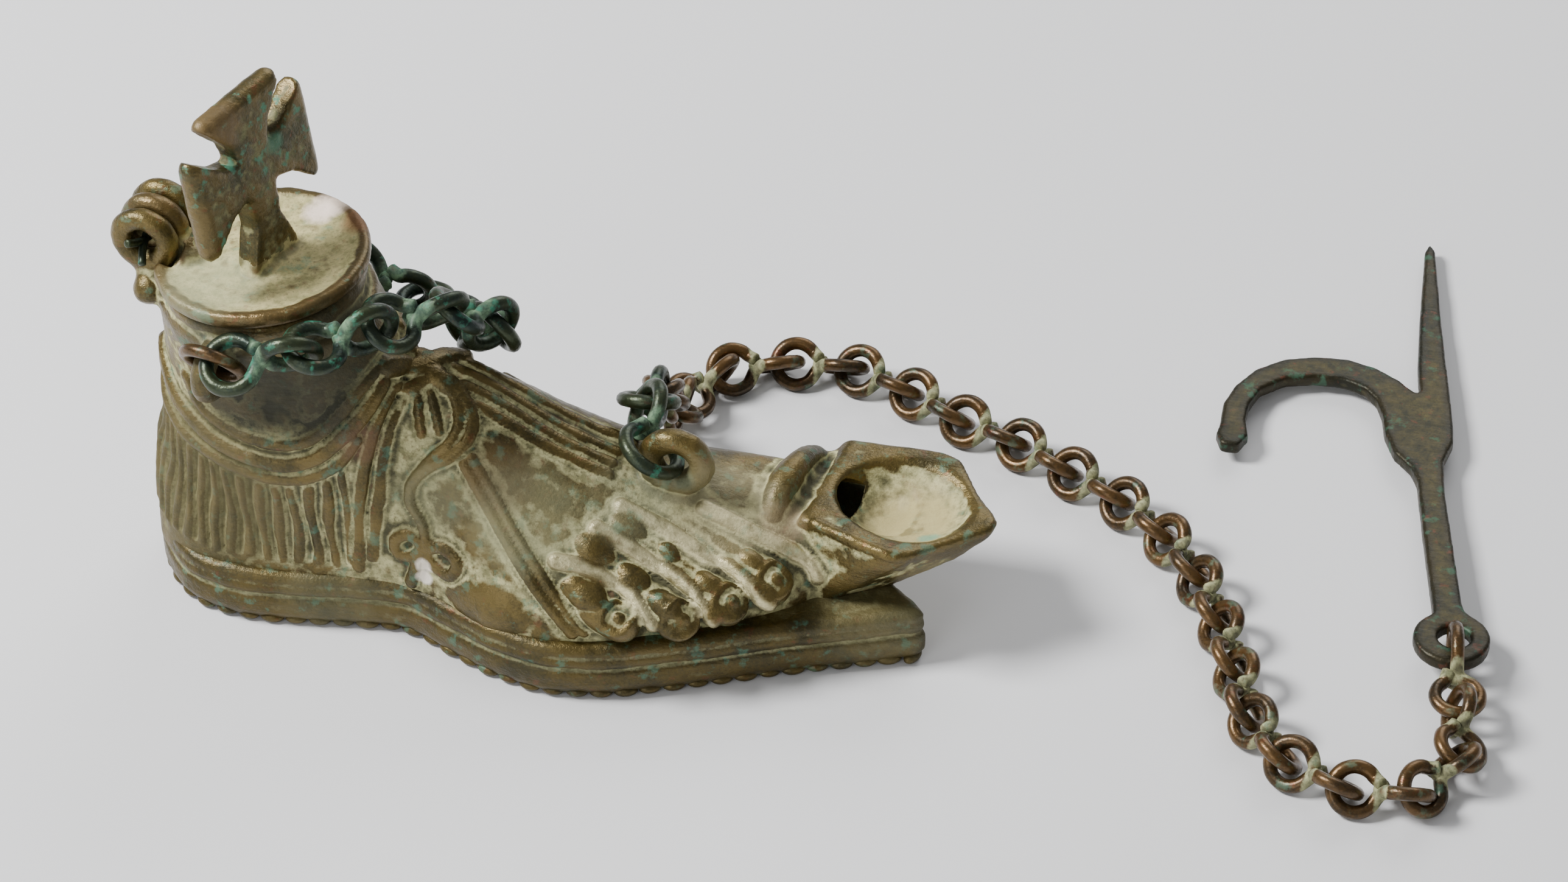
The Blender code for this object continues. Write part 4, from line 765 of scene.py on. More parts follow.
KNUCKLES = [(90.9, -21.5, 22.9, 3.7, 1.7), (91.3, -15.8, 27.9, 3.6, 1.8), (98.8, -17.4, 24.5, 2.7, 1.5),
            (105.6, -20.4, 21.7, 2.8, 1.4), (96.2, -10.3, 29.9, 3.1, 1.6), (104.7, -11.9, 27.0, 1.9, 1.0),
            (112.8, -14.4, 23.5, 2.1, 1.2), (119.4, -8.0, 25.0, 1.8, 0.8)]
NAILS = [(98.0, -24.0, 20.2, 2.5), (109.8, -21.8, 19.9, 2.9), (118.0, -16.0, 21.2, 2.9),
         (125.0, -9.6, 22.9, 2.8)]
print("lines to carve:", 2 * len(SIDE_LINES) + len(BOW) + len(INSTEP_CORDS) + len(KNOT) + len(TOE_RIBS) + 2)


# %% How a line lifts the skin
def line_relief(points, surface, lines):
    """Height at each point from (path, half width, height) lines dropped on the skin."""
    raised, sunk = np.zeros(len(points)), np.zeros(len(points))
    for path, half, rise in lines:
        dense = in_units(smooth_path(path, 0.7))
        on_skin = np.array([surface.find_nearest(Vector(p))[0] for p in dense])
        reach = 3.2 * half * U
        low, high = on_skin.min(axis=0) - reach, on_skin.max(axis=0) + reach
        near = np.where(((points > low) & (points < high)).all(axis=1))[0]
        if len(near) == 0:
            continue
        a, b = on_skin[:-1], on_skin[1:]
        ab = b - a
        ap = points[near][:, None, :] - a[None]
        t = np.clip((ap * ab).sum(2) / np.maximum((ab * ab).sum(1), 1e-12), 0, 1)
        gap = np.linalg.norm(ap - t[..., None] * ab[None], axis=2).min(axis=1) / (half * U)
        if rise > 0:
            bump = rise * U * np.clip(1.35 - gap**2, 0, 1) ** 0.6
            moat = -0.22 * U * np.exp(-((gap - 1.55) / 0.35) ** 2)
            raised[near] = np.maximum(raised[near], bump)
            sunk[near] = np.minimum(sunk[near], np.where(gap > 1.16, moat, 0))
        else:
            sunk[near] = np.minimum(sunk[near], rise * U * np.exp(-gap**2))
    groove = np.where(raised > 0.25 * U, np.minimum(sunk + 0.22 * U, 0), sunk)
    return raised + groove, raised


# %% Pleats, ankle hollow, nails
PLEAT_PITCH = 3.3
PLEAT_DEPTH = 0.95


def pleat_relief(points):
    """Upright pleats round the heel, from the lower band down to the sole."""
    x, y, z = points[:, 0] / U + HEEL_TO_ORIGIN, points[:, 1] / U, points[:, 2] / U
    centre = 20.0
    angle = np.arctan2(np.abs(y), centre - x)
    around = np.where(x < centre, 18.5 * angle, 18.5 * math.pi / 2 + x - centre)
    around = around + 0.35 * np.sin(z * 0.35 + around * 0.5) + (z - 25) * 0.045 * np.clip((x - 14) / 12, 0, 1)
    rows = np.array(sorted({p[0]: p for p in BAND_LOWER}.values()), float)
    top = np.interp(x, rows[:, 0], rows[:, 2]) - 1.5
    wave = 0.5 + 0.5 * np.cos(2 * math.pi * around / PLEAT_PITCH)
    fade = np.clip((top - z) / 1.5, 0, 1) * np.clip((z - 14.6) / 1.2, 0, 1) * np.clip((44.4 - x) / 0.8, 0, 1)
    return fade * PLEAT_DEPTH * (wave**0.8 * 1.1 - 0.55) * U


def ankle_hollow(points):
    """The shallow hollow over the ankle bone, inside the bands."""
    x, y, z = points[:, 0] / U + HEEL_TO_ORIGIN, points[:, 1] / U, points[:, 2] / U
    away = np.hypot((x - 33) / 11, (z - 54) / 9)
    return -0.9 * U * np.clip(1.3 - away, 0, 1) * (np.abs(y) > 8)


def ball_relief(points):
    """The swelling at the ball of the foot, which stands out under the side strap."""
    away = np.linalg.norm((points - np.array(at(72, -22, 16))) / np.array((10.5, 9, 6.5)), axis=1) / U
    return 1.5 * U * np.clip(1 - away**2, 0, 1) ** 1.3


def knuckle_relief(points, surface):
    """Each knuckle is a smooth dome on the skin, longer than wide and not quite regular."""
    height, uneven = np.zeros(len(points)), 0.22 * grain(points, 3.2 * MM, 14)
    for x, y, z, radius, rise in KNUCKLES:
        shift = points - np.array(surface.find_nearest(Vector(at(x, y, z)))[0])
        along = shift @ np.array((0.94, -0.34, 0.0))
        away = np.sqrt(np.maximum((shift**2).sum(1) - 0.5 * along**2, 0)) / (radius * U) + uneven
        height = np.maximum(height, 0.85 * rise * U * np.clip(1 - away**2, 0, 1) ** 0.9)
    return height


def nail_relief(points, surface):
    """Each nail is sunk, with square corners, a rim and a small raised middle."""
    height = np.zeros(len(points))
    for x, y, z, radius in NAILS:
        shift = (points - np.array(surface.find_nearest(Vector(at(x, y, z)))[0])) / (radius * U)
        along, across = shift @ np.array((0.90, -0.30, -0.30)), shift @ np.array((0.32, 0.95, 0.0))
        square = (along**4 + across**4 + shift[:, 2] ** 4 * 0.3) ** 0.25
        height += U * (0.35 * np.exp(-((square - 1.05) / 0.16) ** 2) - 0.75 * np.clip(1.0 - square**6, 0, 1)
                       + 0.6 * np.exp(-(np.linalg.norm(shift, axis=1) / 0.36) ** 2))
    return height


# %% Carve the casting
def mirrored(lines):
    return [([(x, -y, z) for x, y, z in path], half, rise) for path, half, rise in lines]


points, normal = points_of(casting.data), points_of(casting.data, "normal")
surface = BVHTree.FromObject(casting, bpy.context.evaluated_depsgraph_get())
lines = (SIDE_LINES + mirrored(SIDE_LINES) + [(LACE, 1.15, 1.3), (LACE_TWIN, 0.95, 1.0)] + BOW
         + INSTEP_CORDS + KNOT + TOE_RIBS + FOLD_LINES + NOZZLE_EDGE)
carved, raised = line_relief(points, surface, lines)
plain = np.clip(1 - raised / (0.4 * U), 0, 1)
knuckles = knuckle_relief(points, surface)
carved = np.maximum(carved, knuckles)
carved += plain * (pleat_relief(points) + ankle_hollow(points) + ball_relief(points))
carved += nail_relief(points, surface)
carved += (0.16 * grain(points, 5.0 * MM, 1) + 0.09 * grain(points, 1.6 * MM, 2)) * U
set_points(casting.data, points + normal * carved[:, None])

# %% Cut the hollow, the hinge's room and the underside
half_room = KNUCKLE_WIRE / 2 + 0.3 * MM
room = cylinder_mesh("room", hinge_point(-half_room), hinge_point(half_room), SWING)
cut(casting, hollow_meshes() + [room])
print("casting:", len(casting.data.polygons), "faces carved and hollow")

# %% [markdown]
# ## The sole
# The sandal's sole is built up of layers, with a beaded welt under it. Its outline is one
# closed line, and each layer is that line at another height, moved in or out a little.
# The beads are the same small lump again and again, so Geometry Nodes set them along the
# line at an even pitch.

# %% The layered slab
def sole_ring(count):
    """Evenly spaced points round the sole with their outward directions, in units."""
    pts = np.array(SOLE_OUTLINE, float)
    around = np.vstack([pts[-3:], pts, pts[:3]])
    reach = np.r_[0, np.cumsum(np.linalg.norm(np.diff(around, axis=0), axis=1))]
    start, end = reach[3], reach[3 + len(pts)]
    at = start + (end - start) * np.arange(count) / count
    ring = curve_through(np.c_[reach, around], at)
    along = np.roll(ring, -1, axis=0) - np.roll(ring, 1, axis=0)
    along /= np.linalg.norm(along, axis=1)[:, None]
    return ring, np.c_[along[:, 1], -along[:, 0]]


SOLE_POINTS = 620
SOLE_LEVELS = [(0.9, -1.2), (1.4, -0.7), (2.0, -0.4), (2.6, 0.0), (3.2, 0.1), (3.8, 0.15),
               (4.4, 0.15), (5.0, 0.15), (5.6, 0.15), (6.2, 0.1), (6.7, -0.1), (7.1, -0.75),
               (7.5, -0.8), (7.9, -0.2), (8.5, 0.0), (9.1, 0.0), (9.7, -0.15), (10.1, -0.6),
               (10.5, -0.35), (11.1, -0.3), (11.7, -0.6), (12.2, -1.1), (12.5, -1.9)]
outline, outward = sole_ring(SOLE_POINTS)
layers = [[(fx(x), y * U, z * U) for x, y in outline + outward * offset] for z, offset in SOLE_LEVELS]
sole = fused("layered_sole", [loft("layered_sole", layers)], SOLE_VOXEL)
relax(sole, 1)
points, normal = points_of(sole.data), points_of(sole.data, "normal")
uneven = (0.16 * grain(points * np.array([1, 1, 3.0]), 7 * MM, 4) + 0.08 * grain(points, 1.5 * MM, 5)) * U
set_points(sole.data, points + normal * uneven[:, None])
print("sole:", len(sole.data.polygons), "faces")


# %% Beads along the welt, by Geometry Nodes
def group_input(tree, name, kind, value=None):
    socket = tree.interface.new_socket(name, in_out="INPUT", socket_type=kind)
    if value is not None:
        socket.default_value = value
    return socket


def bead_tree(material):
    """Mesh edges become a curve, evenly cut, with one lump on each cut."""
    tree = bpy.data.node_groups.new("beads_on_a_line", "GeometryNodeTree")
    group_input(tree, "Line", "NodeSocketGeometry")
    sockets = {name: group_input(tree, name, "NodeSocketFloat", value) for name, value in
               (("Pitch", BEAD_PITCH), ("Half length", 2.25 * MM), ("Half width", 1.35 * MM),
                ("Half height", 1.1 * MM))}
    tree.interface.new_socket("Beads", in_out="OUTPUT", socket_type="NodeSocketGeometry")
    given = add(tree, "NodeGroupInput")
    curve = add(tree, "GeometryNodeMeshToCurve", links={"Mesh": given.outputs["Line"]})
    even = add(tree, "GeometryNodeResampleCurve", {"mode": "LENGTH"},
               {"Curve": curve.outputs["Curve"], "Length": given.outputs["Pitch"]})
    tangent = add(tree, "GeometryNodeInputTangent")
    turn = add(tree, "FunctionNodeAlignRotationToVector", {"axis": "X"},
               {"Vector": tangent.outputs["Tangent"]})
    ball = add(tree, "GeometryNodeMeshIcoSphere", values={"Radius": 1.0, "Subdivisions": 3})
    size = add(tree, "ShaderNodeCombineXYZ",
               links={"X": given.outputs["Half length"], "Y": given.outputs["Half width"],
                      "Z": given.outputs["Half height"]})
    vary = add(tree, "FunctionNodeRandomValue", {"data_type": "FLOAT"},
               values={"Min": 0.90, "Max": 1.08, "Seed": 6})
    varied = add(tree, "ShaderNodeVectorMath", {"operation": "SCALE"},
                 {"Vector": size.outputs["Vector"], "Scale": vary.outputs[1]})
    lumps = add(tree, "GeometryNodeInstanceOnPoints",
                links={"Points": even.outputs["Curve"], "Instance": ball.outputs["Mesh"],
                       "Rotation": turn.outputs["Rotation"], "Scale": varied.outputs["Vector"]})
    real = add(tree, "GeometryNodeRealizeInstances", links={"Geometry": lumps.outputs["Instances"]})
    painted = add(tree, "GeometryNodeSetMaterial", links={"Geometry": real.outputs["Geometry"]},
                  values={"Material": material})
    out = add(tree, "NodeGroupOutput")
    tree.links.new(painted.outputs["Geometry"], out.inputs["Beads"])
    return tree, sockets


def line_object(name, ring):
    """A closed line of edges."""
    mesh = bpy.data.meshes.new(name)
    count = len(ring)
    mesh.from_pydata([tuple(p) for p in ring], [(k, (k + 1) % count) for k in range(count)], [])
    return new_object(name, mesh)


def made_by(tree, obj, settings=None):
    """Run a tree on an object and keep the result as a plain mesh."""
    modifier = obj.modifiers.new("maker", "NODES")
    modifier.node_group = tree
    for socket, value in (settings or []):
        modifier[socket.identifier] = value
    return bake(obj)


# %% [markdown]
# ## The bronze and its patina
# Leaded bronze is a brown metal. Where hands and cleaning rubbed it, it shines a satin
# brown, and metallic is highest there, though old metal never reaches 1. Everywhere else
# salts cover it: tan and sage powder in the hollows, dark olive on the flats, turquoise
# malachite and red cuprite in specks. Powder is not metal, so metallic falls and roughness
# rises with it. One function builds this for every piece, from its own colours and amounts.

# %% A material as rows: each names its node, its kind, its settings and its inputs
OUTPUT_USED = {"TexCoord": "Object", "Attribute": "Fac", "Mix": 2, "VectorMath": 1}
TIMES, PLUS, MINUS, TIMES_PLUS = (
    {"operation": word} for word in ("MULTIPLY", "ADD", "SUBTRACT", "MULTIPLY_ADD"))
COLOURS = {"data_type": "RGBA"}


def grow(tree, rows):
    """A node for each row. An input is a value, a hex colour or the name of an earlier row."""
    made = {}
    for name, kind, settings, inputs in rows:
        links = {key: made[given] for key, given in inputs.items() if given in made}
        values = {key: linear(given) if str(given).startswith("#") else given
                  for key, given in inputs.items() if given not in made}
        node = add(tree, "ShaderNode" + kind, settings, links, values)
        made[name] = node.outputs[OUTPUT_USED.get(kind, 0)]
    return made


# %% Noises on object coordinates: size of a blotch in mm, detail, place, stretch along x
NOISES = [("cloud", 9.0, 4, (0, 0, 0), 1), ("spots", 2.2, 4, (3, 1, 5), 1),
          ("fine", 0.55, 3, (9, 4, 2), 1), ("brushed", 0.5, 2, (2, 9, 6), 0.1),
          ("salts", 3.6, 6, (1, 8, 3), 1), ("rust", 2.6, 6, (6, 2, 7), 1)]
NOISE_ROWS = [("coords", "TexCoord", {}, {}), ("wear", "Attribute", {"attribute_name": "wear"}, {})]
for key, size, detail, place, stretch in NOISES:
    per_metre = 1000 / size
    NOISE_ROWS += [
        (key + "_place", "Mapping", {}, {"Vector": "coords", "Location": place,
                                         "Scale": (stretch * per_metre, per_metre, per_metre)}),
        (key, "TexNoise", {}, {"Vector": key + "_place", "Scale": 1.0, "Detail": detail, "Roughness": 0.6})]

# %% One recipe for patinated bronze
METAL_SHARE = 0.62
CRUST_ROUGHNESS = 0.88


def patinated_bronze(name, metal, dark, powder, pale, green="#4f8d77", red="#7a3a26", powder_low=0.36,
                     powder_high=0.52, green_amount=0.2, red_amount=0.12, dark_amount=0.5, gloss=0.36,
                     crevice_dirt_and_shade=0.6, chalk=None, stains_and_shade=(), bump=0.25):
    """Brown metal where worn, powder in hollows, blotches of salts over both, and dark dirt with painted
    shade in the deepest crevices.
    """
    rows = NOISE_ROWS + [
        # Powder settles by wear, with an edge that noise breaks up
        ("uneven", "Math", TIMES, {0: "cloud", 1: 0.34}),
        ("uneven", "Math", TIMES_PLUS, {0: "spots", 1: 0.22, 2: "uneven"}),
        ("uneven", "Math", TIMES_PLUS, {0: "fine", 1: 0.16, 2: "uneven"}),
        ("level", "Math", PLUS, {0: "wear", 1: "uneven"}),
        ("level", "Math", MINUS, {0: "level", 1: 0.36}),
        ("bare", "ValToRGB", {"stops": [(powder_low, 0.0), (powder_high, 1.0)]}, {"Fac": "level"}),
        ("dust", "ValToRGB", {"stops": [(0.35, powder), (0.62, pale)]}, {"Fac": "spots"}),
        ("grit", "ValToRGB", {"stops": [(0.52, 0.0), (0.70, 1.0)]}, {"Fac": "fine"}),
        ("share", "Math", TIMES, {0: "grit", 1: 0.45}),
        ("dust", "Mix", COLOURS, {0: "share", 6: "dust", 7: dark}),
        # The metal is mottled with darker oxide
        ("oxide", "Math", TIMES_PLUS, {0: "fine", 1: 0.35, 2: "cloud"}),
        ("oxide", "ValToRGB", {"stops": [(0.58, 0.0), (0.82, 1.0)]}, {"Fac": "oxide"}),
        ("share", "Math", TIMES, {0: "oxide", 1: dark_amount}),
        ("bronze", "Mix", COLOURS, {0: "share", 6: metal, 7: dark}),
        ("colour", "Mix", COLOURS, {0: "bare", 6: "dust", 7: "bronze"})]
    if chalk:
        rows += [
            ("ridge", "Attribute", {"attribute_name": "chalk"}, {}),
            ("patchy", "ValToRGB", {"stops": [(0.30, 0.35), (0.55, 1.0)]}, {"Fac": "spots"}),
            ("share", "Math", TIMES, {0: "ridge", 1: "patchy"}),
            ("colour", "Mix", COLOURS, {0: "share", 6: "colour", 7: chalk})]
    rows += [
        # The deepest places are darkened: partly dark dirt, partly painted shade in the crevices
        ("deep", "Math", TIMES_PLUS, {0: "spots", 1: 0.12, 2: "wear"}),
        ("deep", "ValToRGB", {"stops": [(0.14, 1.0), (0.33, 0.0)]}, {"Fac": "deep"}),
        ("share", "Math", TIMES, {0: "deep", 1: crevice_dirt_and_shade}),
        ("colour", "Mix", COLOURS, {0: "share", 6: "colour", 7: dark}),
        # Green and red salts in small scattered patches
        ("cuprite", "ValToRGB", {"stops": [(0.61, 0.0), (0.68, 1.0)]}, {"Fac": "rust"}),
        ("red_share", "Math", TIMES, {0: "cuprite", 1: red_amount}),
        ("verdigris", "ValToRGB", {"stops": [(0.58, 0.0), (0.66, 1.0)]}, {"Fac": "salts"}),
        ("share", "Math", TIMES, {0: "verdigris", 1: green_amount}),
        ("colour", "Mix", COLOURS, {0: "share", 6: "colour", 7: green}),
        ("colour", "Mix", COLOURS, {0: "red_share", 6: "colour", 7: red}),
        ("cover", "Math", {**MINUS, "use_clamp": True}, {0: "bare", 1: "share"}),
        ("spotty", "Math", PLUS, {0: "spots", 1: 0.5})]
    # Stains, and some patches of painted shade, have a place on the piece, and lie over the metal as a matt
    # crust
    for hue, centre, radius, strength in stains_and_shade:
        rows += [
            ("away", "VectorMath", {"operation": "DISTANCE"}, {0: "coords", 1: centre}),
            ("near", "Math", {**TIMES_PLUS, "use_clamp": True}, {0: "away", 1: -1 / radius, 2: 1.0}),
            ("near", "Math", TIMES, {0: "near", 1: "spotty"}),
            ("patch", "ValToRGB", {"stops": [(0.25, 0.0), (0.55, 1.0)]}, {"Fac": "near"}),
            ("hold", "Math", TIMES_PLUS, {0: "bare", 1: -0.35 * strength, 2: strength}),
            ("patch", "Math", TIMES, {0: "patch", 1: "hold"}),
            ("colour", "Mix", COLOURS, {0: "patch", 6: "colour", 7: hue}),
            ("rest", "Math", MINUS, {0: 1.0, 1: "patch"}),
            ("cover", "Math", TIMES, {0: "cover", 1: "rest"})]
    rows += [
        ("metallic", "Math", TIMES, {0: "cover", 1: METAL_SHARE}),
        ("rough", "Math", TIMES_PLUS, {0: "cover", 1: gloss - CRUST_ROUGHNESS, 2: CRUST_ROUGHNESS}),
        ("streaks", "Math", MINUS, {0: "brushed", 1: 0.5}),
        ("rough", "Math", TIMES_PLUS, {0: "streaks", 1: 0.30, 2: "rough"}),
        ("height", "Math", TIMES_PLUS, {0: "spots", 1: 0.8, 2: "fine"}),
        ("height", "Math", TIMES_PLUS, {0: "brushed", 1: 0.7, 2: "height"}),
        ("relief", "Bump", {}, {"Height": "height", "Strength": bump, "Distance": 0.25 * MM})]

    material = bpy.data.materials.new(name)
    material.use_nodes = True
    shader = material.node_tree.nodes["Principled BSDF"]
    made = grow(material.node_tree, rows)
    for key, socket in (("colour", "Base Color"), ("metallic", "Metallic"), ("rough", "Roughness"),
                        ("relief", "Normal")):
        material.node_tree.links.new(made[key], shader.inputs[socket])
    # A museum's wax coat gives the rubbed places their whitish sheen
    shader.inputs["Coat Weight"].default_value = 0.08
    shader.inputs["Coat Roughness"].default_value = 0.34
    return material


# %% Finish of the casting: satin brown on the ridges, sage and tan powder between
CAST_STAINS_AND_SHADE = [
    # The two near-black patches below darken the ankle hollow.
    ("#22220f", at(26, -17, 54.5), 16 * MM, 1.0), ("#22220f", at(38, -17, 55), 16 * MM, 1.0),
    # The first patch below is painted shade under the front edge of the lid.
    ("#2f301d", at(45, -12, 65), 16 * MM, 0.8), ("#534c28", at(12, -14, 27), 34 * MM, 0.8),
    ("#9b9b74", at(78, -15, 33), 17 * MM, 0.6), ("#8f8f6a", at(60, -15, 34), 12 * MM, 0.45),
    # The patch below is painted shade under the lid, on the outer side of the leg.
    ("#3d4433", at(22, -19, 66), 13 * MM, 0.5),
    ("#a9a27c", at(112, -1, 31), 18 * MM, 0.5), ("#989a78", at(96, -7, 33), 14 * MM, 0.4),
    # The two brown patches below, on the outer side, are brown patina with painted shade between the straps
    # and the cords.
    ("#6f4a36", at(47, -15, 44), 7 * MM, 0.55), ("#5f4c34", at(73, -13, 40), 11 * MM, 0.5),
    ("#a39070", at(123, 1, 26), 7 * MM, 0.5), ("#3f5a48", at(104, -3, 36), 5 * MM, 0.7),
    ("#b3a570", at(146, 10, 22), 15 * MM, 0.85), ("#6fa184", at(150.5, 4.5, 24), 3.6 * MM, 0.75),
    ("#efe6d6", at(58.8, -18.4, 19.4), 2.9 * MM, 1.2), ("#efe6d6", at(58.6, -18.2, 16.2), 2.6 * MM, 1.2)]
cast_bronze = patinated_bronze(
    "sand_cast_leaded_bronze_old_patina", metal="#64552b", dark="#29270f", powder="#7a7750", pale="#bcb786",
    powder_low=0.38, powder_high=0.54, green_amount=0.32, red_amount=0.25, dark_amount=0.75, gloss=0.36,
    bump=0.5, crevice_dirt_and_shade=0.85, chalk="#d0c79a", stains_and_shade=CAST_STAINS_AND_SHADE)
skin_now = points_of(casting.data)
rubbed = np.clip(knuckle_relief(skin_now, surface) / (0.8 * U), 0, 1)
ribs = line_relief(skin_now, surface, TOE_RIBS)[1] * (1 - rubbed)
dress(casting, cast_bronze, extra=0.8 * rubbed)
layer = casting.data.attributes.new("chalk", "FLOAT", "POINT")
layer.data.foreach_set("value", np.clip(ribs / (0.9 * U), 0, 1).astype(np.float32))

sole_bronze = patinated_bronze(
    "sand_cast_leaded_bronze_handled_sole", metal="#54471f", dark="#2b2a17", powder="#5f5d3c", pale="#8a8862",
    powder_low=0.30, powder_high=0.50, green_amount=0.35, red_amount=0.25, dark_amount=0.8, gloss=0.40,
    bump=0.5, stains_and_shade=[("#7f7a55", at(140, 4, 12), 24 * MM, 0.55), ("#6b6a4a", at(40, -18, 8), 16 * MM, 0.4)])
dress(sole, sole_bronze, fine=(2, 0.09 * MM), broad=(12, 0.3 * MM))

welt_ring, welt_out = sole_ring(400)
welt_line = welt_ring + welt_out * -1.35
beads = line_object("welt_beads", [(fx(x), y * U, 1.12 * MM) for x, y in welt_line])
tree, bead_sockets = bead_tree(sole_bronze)
made_by(tree, beads, [(bead_sockets["Pitch"], BEAD_PITCH)])
mark_wear(beads, fine=(2, 0.05 * MM), broad=(3, 0.2 * MM), extra=-0.6)
beads.data.shade_smooth()
print("beads:", len(beads.data.polygons), "faces")

# %% [markdown]
# ## Lid, cross and hinge pin
# The lid is a shallow dish with a rounded lip, cast together with a stout cross and the
# middle ring of the hinge. It turns about the pin, so its pieces ride on the lid's body.

# %% The lid's dish and tongue
def lid_meshes():
    here, r, t = lid_frame(), LID_RADIUS, LID_THICK
    profile = [(0, LID_GAP), (MOUTH_RADIUS, LID_GAP), (r - 1.2 * MM, LID_GAP), (r - 0.35 * MM, t * 0.3),
               (r - 0.1 * MM, t * 0.65), (r - 0.15 * MM, t * 1.0), (r - 0.6 * MM, t * 1.28),
               (r - 1.3 * MM, t * 1.36), (r - 2.2 * MM, t * 1.28), (r - 3.4 * MM, t * 1.05),
               (r * 0.7, t * 0.85), (r * 0.45, t * 0.75), (r * 0.25, t * 0.95), (r * 0.14, t * 1.35),
               (0, t * 1.6)]
    yield lathe("dish", profile, 128, here)
    half = KNUCKLE_PITCH + KNUCKLE_WIRE / 2
    rings = []
    for z, more in [(LID_GAP + 0.3 * MM, 0.0), (LID_THICK * 1.1, -0.2 * MM),
                    (HINGE_RISE - 1.4 * MM, -2.6 * MM)]:
        back, front, wide = -HINGE_BACK - KNUCKLE_RADIUS * 0.2, -LID_RADIUS * 0.55 + more, half + more
        plan = [(back, -wide), (front - 2 * MM, -wide), (front, -wide * 0.5), (front, wide * 0.5),
                (front - 2 * MM, wide), (back, wide)]
        rings.append([tuple(here @ Vector((x, y, z))) for x, y in plan])
    yield loft("tongue", rings)


# %% The cross, with wedge-shaped arms
def cross_frame():
    return (lid_frame() @ Matrix.Translation((CROSS_SHIFT, 0, 0)) @ Matrix.Rotation(CROSS_TURN, 4, "Z")
            @ Matrix.Rotation(CROSS_LEAN, 4, "Y"))


def cross_mesh():
    """Four flared arms, thickest at the middle plane so that the edges are round."""
    outline = []
    for k in range(4):
        reach = ARM_LENGTH if k != 3 else CROSS_CENTRE
        end = ARM_END if k != 3 else ARM_END * 0.62
        turn = k * math.pi / 2
        for out, across in [(ARM_NECK, -ARM_NECK), (reach * 0.55, -end * 0.52), (reach - 0.03, -end),
                            (reach, -end * 0.86), (reach, end * 0.86), (reach - 0.03, end),
                            (reach * 0.55, end * 0.52)]:
            outline.append((out * math.cos(turn) - across * math.sin(turn),
                            out * math.sin(turn) + across * math.cos(turn)))
    here, centre = cross_frame(), CROSS_CENTRE * CROSS_HEIGHT
    levels = ((-0.5, 0.90), (-0.3, 0.975), (-0.12, 1.0), (0.12, 1.0), (0.3, 0.975), (0.5, 0.90))
    return loft("cross", [[tuple(here @ Vector((depth * CROSS_THICK, y * scale * CROSS_HEIGHT,
                                                centre + z * scale * CROSS_HEIGHT + LID_THICK * 0.5)))
                           for y, z in outline] for depth, scale in levels])


lid = fused("dished_lid", list(lid_meshes()) + [cross_mesh()], LID_VOXEL)
inner = KNUCKLE_WIRE / 2 - 0.02 * MM
outer = KNUCKLE_WIRE / 2 + KNUCKLE_PITCH + 0.3 * MM
clear = [cylinder_mesh("clear", hinge_point(s * inner), hinge_point(s * outer), SWING) for s in (-1, 1)]
bore = cylinder_mesh("bore", hinge_point(-inner - 1 * MM), hinge_point(inner + 1 * MM), KNUCKLE_RADIUS)
cut(lid, clear + [bore])
lid_parts = [lid.data.copy(), hinge_ring(0)]
bpy.data.objects.remove(lid)
lid = fused("dished_lid", lid_parts, LID_VOXEL)
relax(lid, 3)
points, normal = points_of(lid.data), points_of(lid.data, "normal")
lumps = (0.18 * grain(points, 4.5 * MM, 7) + 0.08 * grain(points, 1.4 * MM, 8)) * MM
lumps *= np.clip((seen_from(lid_frame(), points)[:, 2] - 0.8 * MM) / (0.8 * MM), 0, 1)
set_points(lid.data, points + normal * lumps[:, None])
print("lid:", len(lid.data.polygons), "faces")

# %% Finish of the lid: paler, with an earthy dish and a rubbed lip
lid_bronze = patinated_bronze(
    "cast_bronze_with_earthy_crust", metal="#685530", dark="#45432a", powder="#959060", pale="#c2b782",
    powder_low=0.50, powder_high=0.80, green_amount=0.35, red_amount=0.3, dark_amount=0.6, gloss=0.36,
    bump=0.4, stains_and_shade=[
        ("#efdccb", at(31.8, 13.9, 76.2), 6 * MM, 0.95), ("#efdccb", at(34.2, 15.8, 76.6), 5.5 * MM, 0.9),
        ("#a9683f", at(40.7, 11.6, 76), 6 * MM, 0.45), ("#a5a983", at(18, -10, 74), 16 * MM, 0.5)])
cross_bronze = patinated_bronze(
    "cast_bronze_olive_with_copper_edges", metal="#655630", dark="#30331f", powder="#575a3a", pale="#8f8a5f",
    green="#4d9a7e", powder_low=0.36, powder_high=0.54, green_amount=0.6, red_amount=0.35, dark_amount=0.85,
    gloss=0.36, bump=0.4, stains_and_shade=[
        ("#8f6f42", at(22, -7, 107), 10 * MM, 0.5), ("#4f9f80", at(29, 4, 97), 4 * MM, 0.5)])
dress(lid, lid_bronze, cross_bronze, fine=(3, 0.03 * MM), broad=(30, 0.25 * MM))
here = lid_frame().inverted()
for face in lid.data.polygons:
    middle = here @ face.center
    if middle.z > (4.6 + 1.5 * noise.noise(face.center / (2 * MM))) * MM and middle.x > -14 * MM:
        face.material_index = 1


# %% [markdown]
# ## Wire: pin, rings and chain links
# Pin, rings and links were bent from round drawn wire. A wire is a circle swept along a
# path, with a rounded end. Each link is one wire with two loops that stand square to each
# other and cut ends that were pressed against the waist.

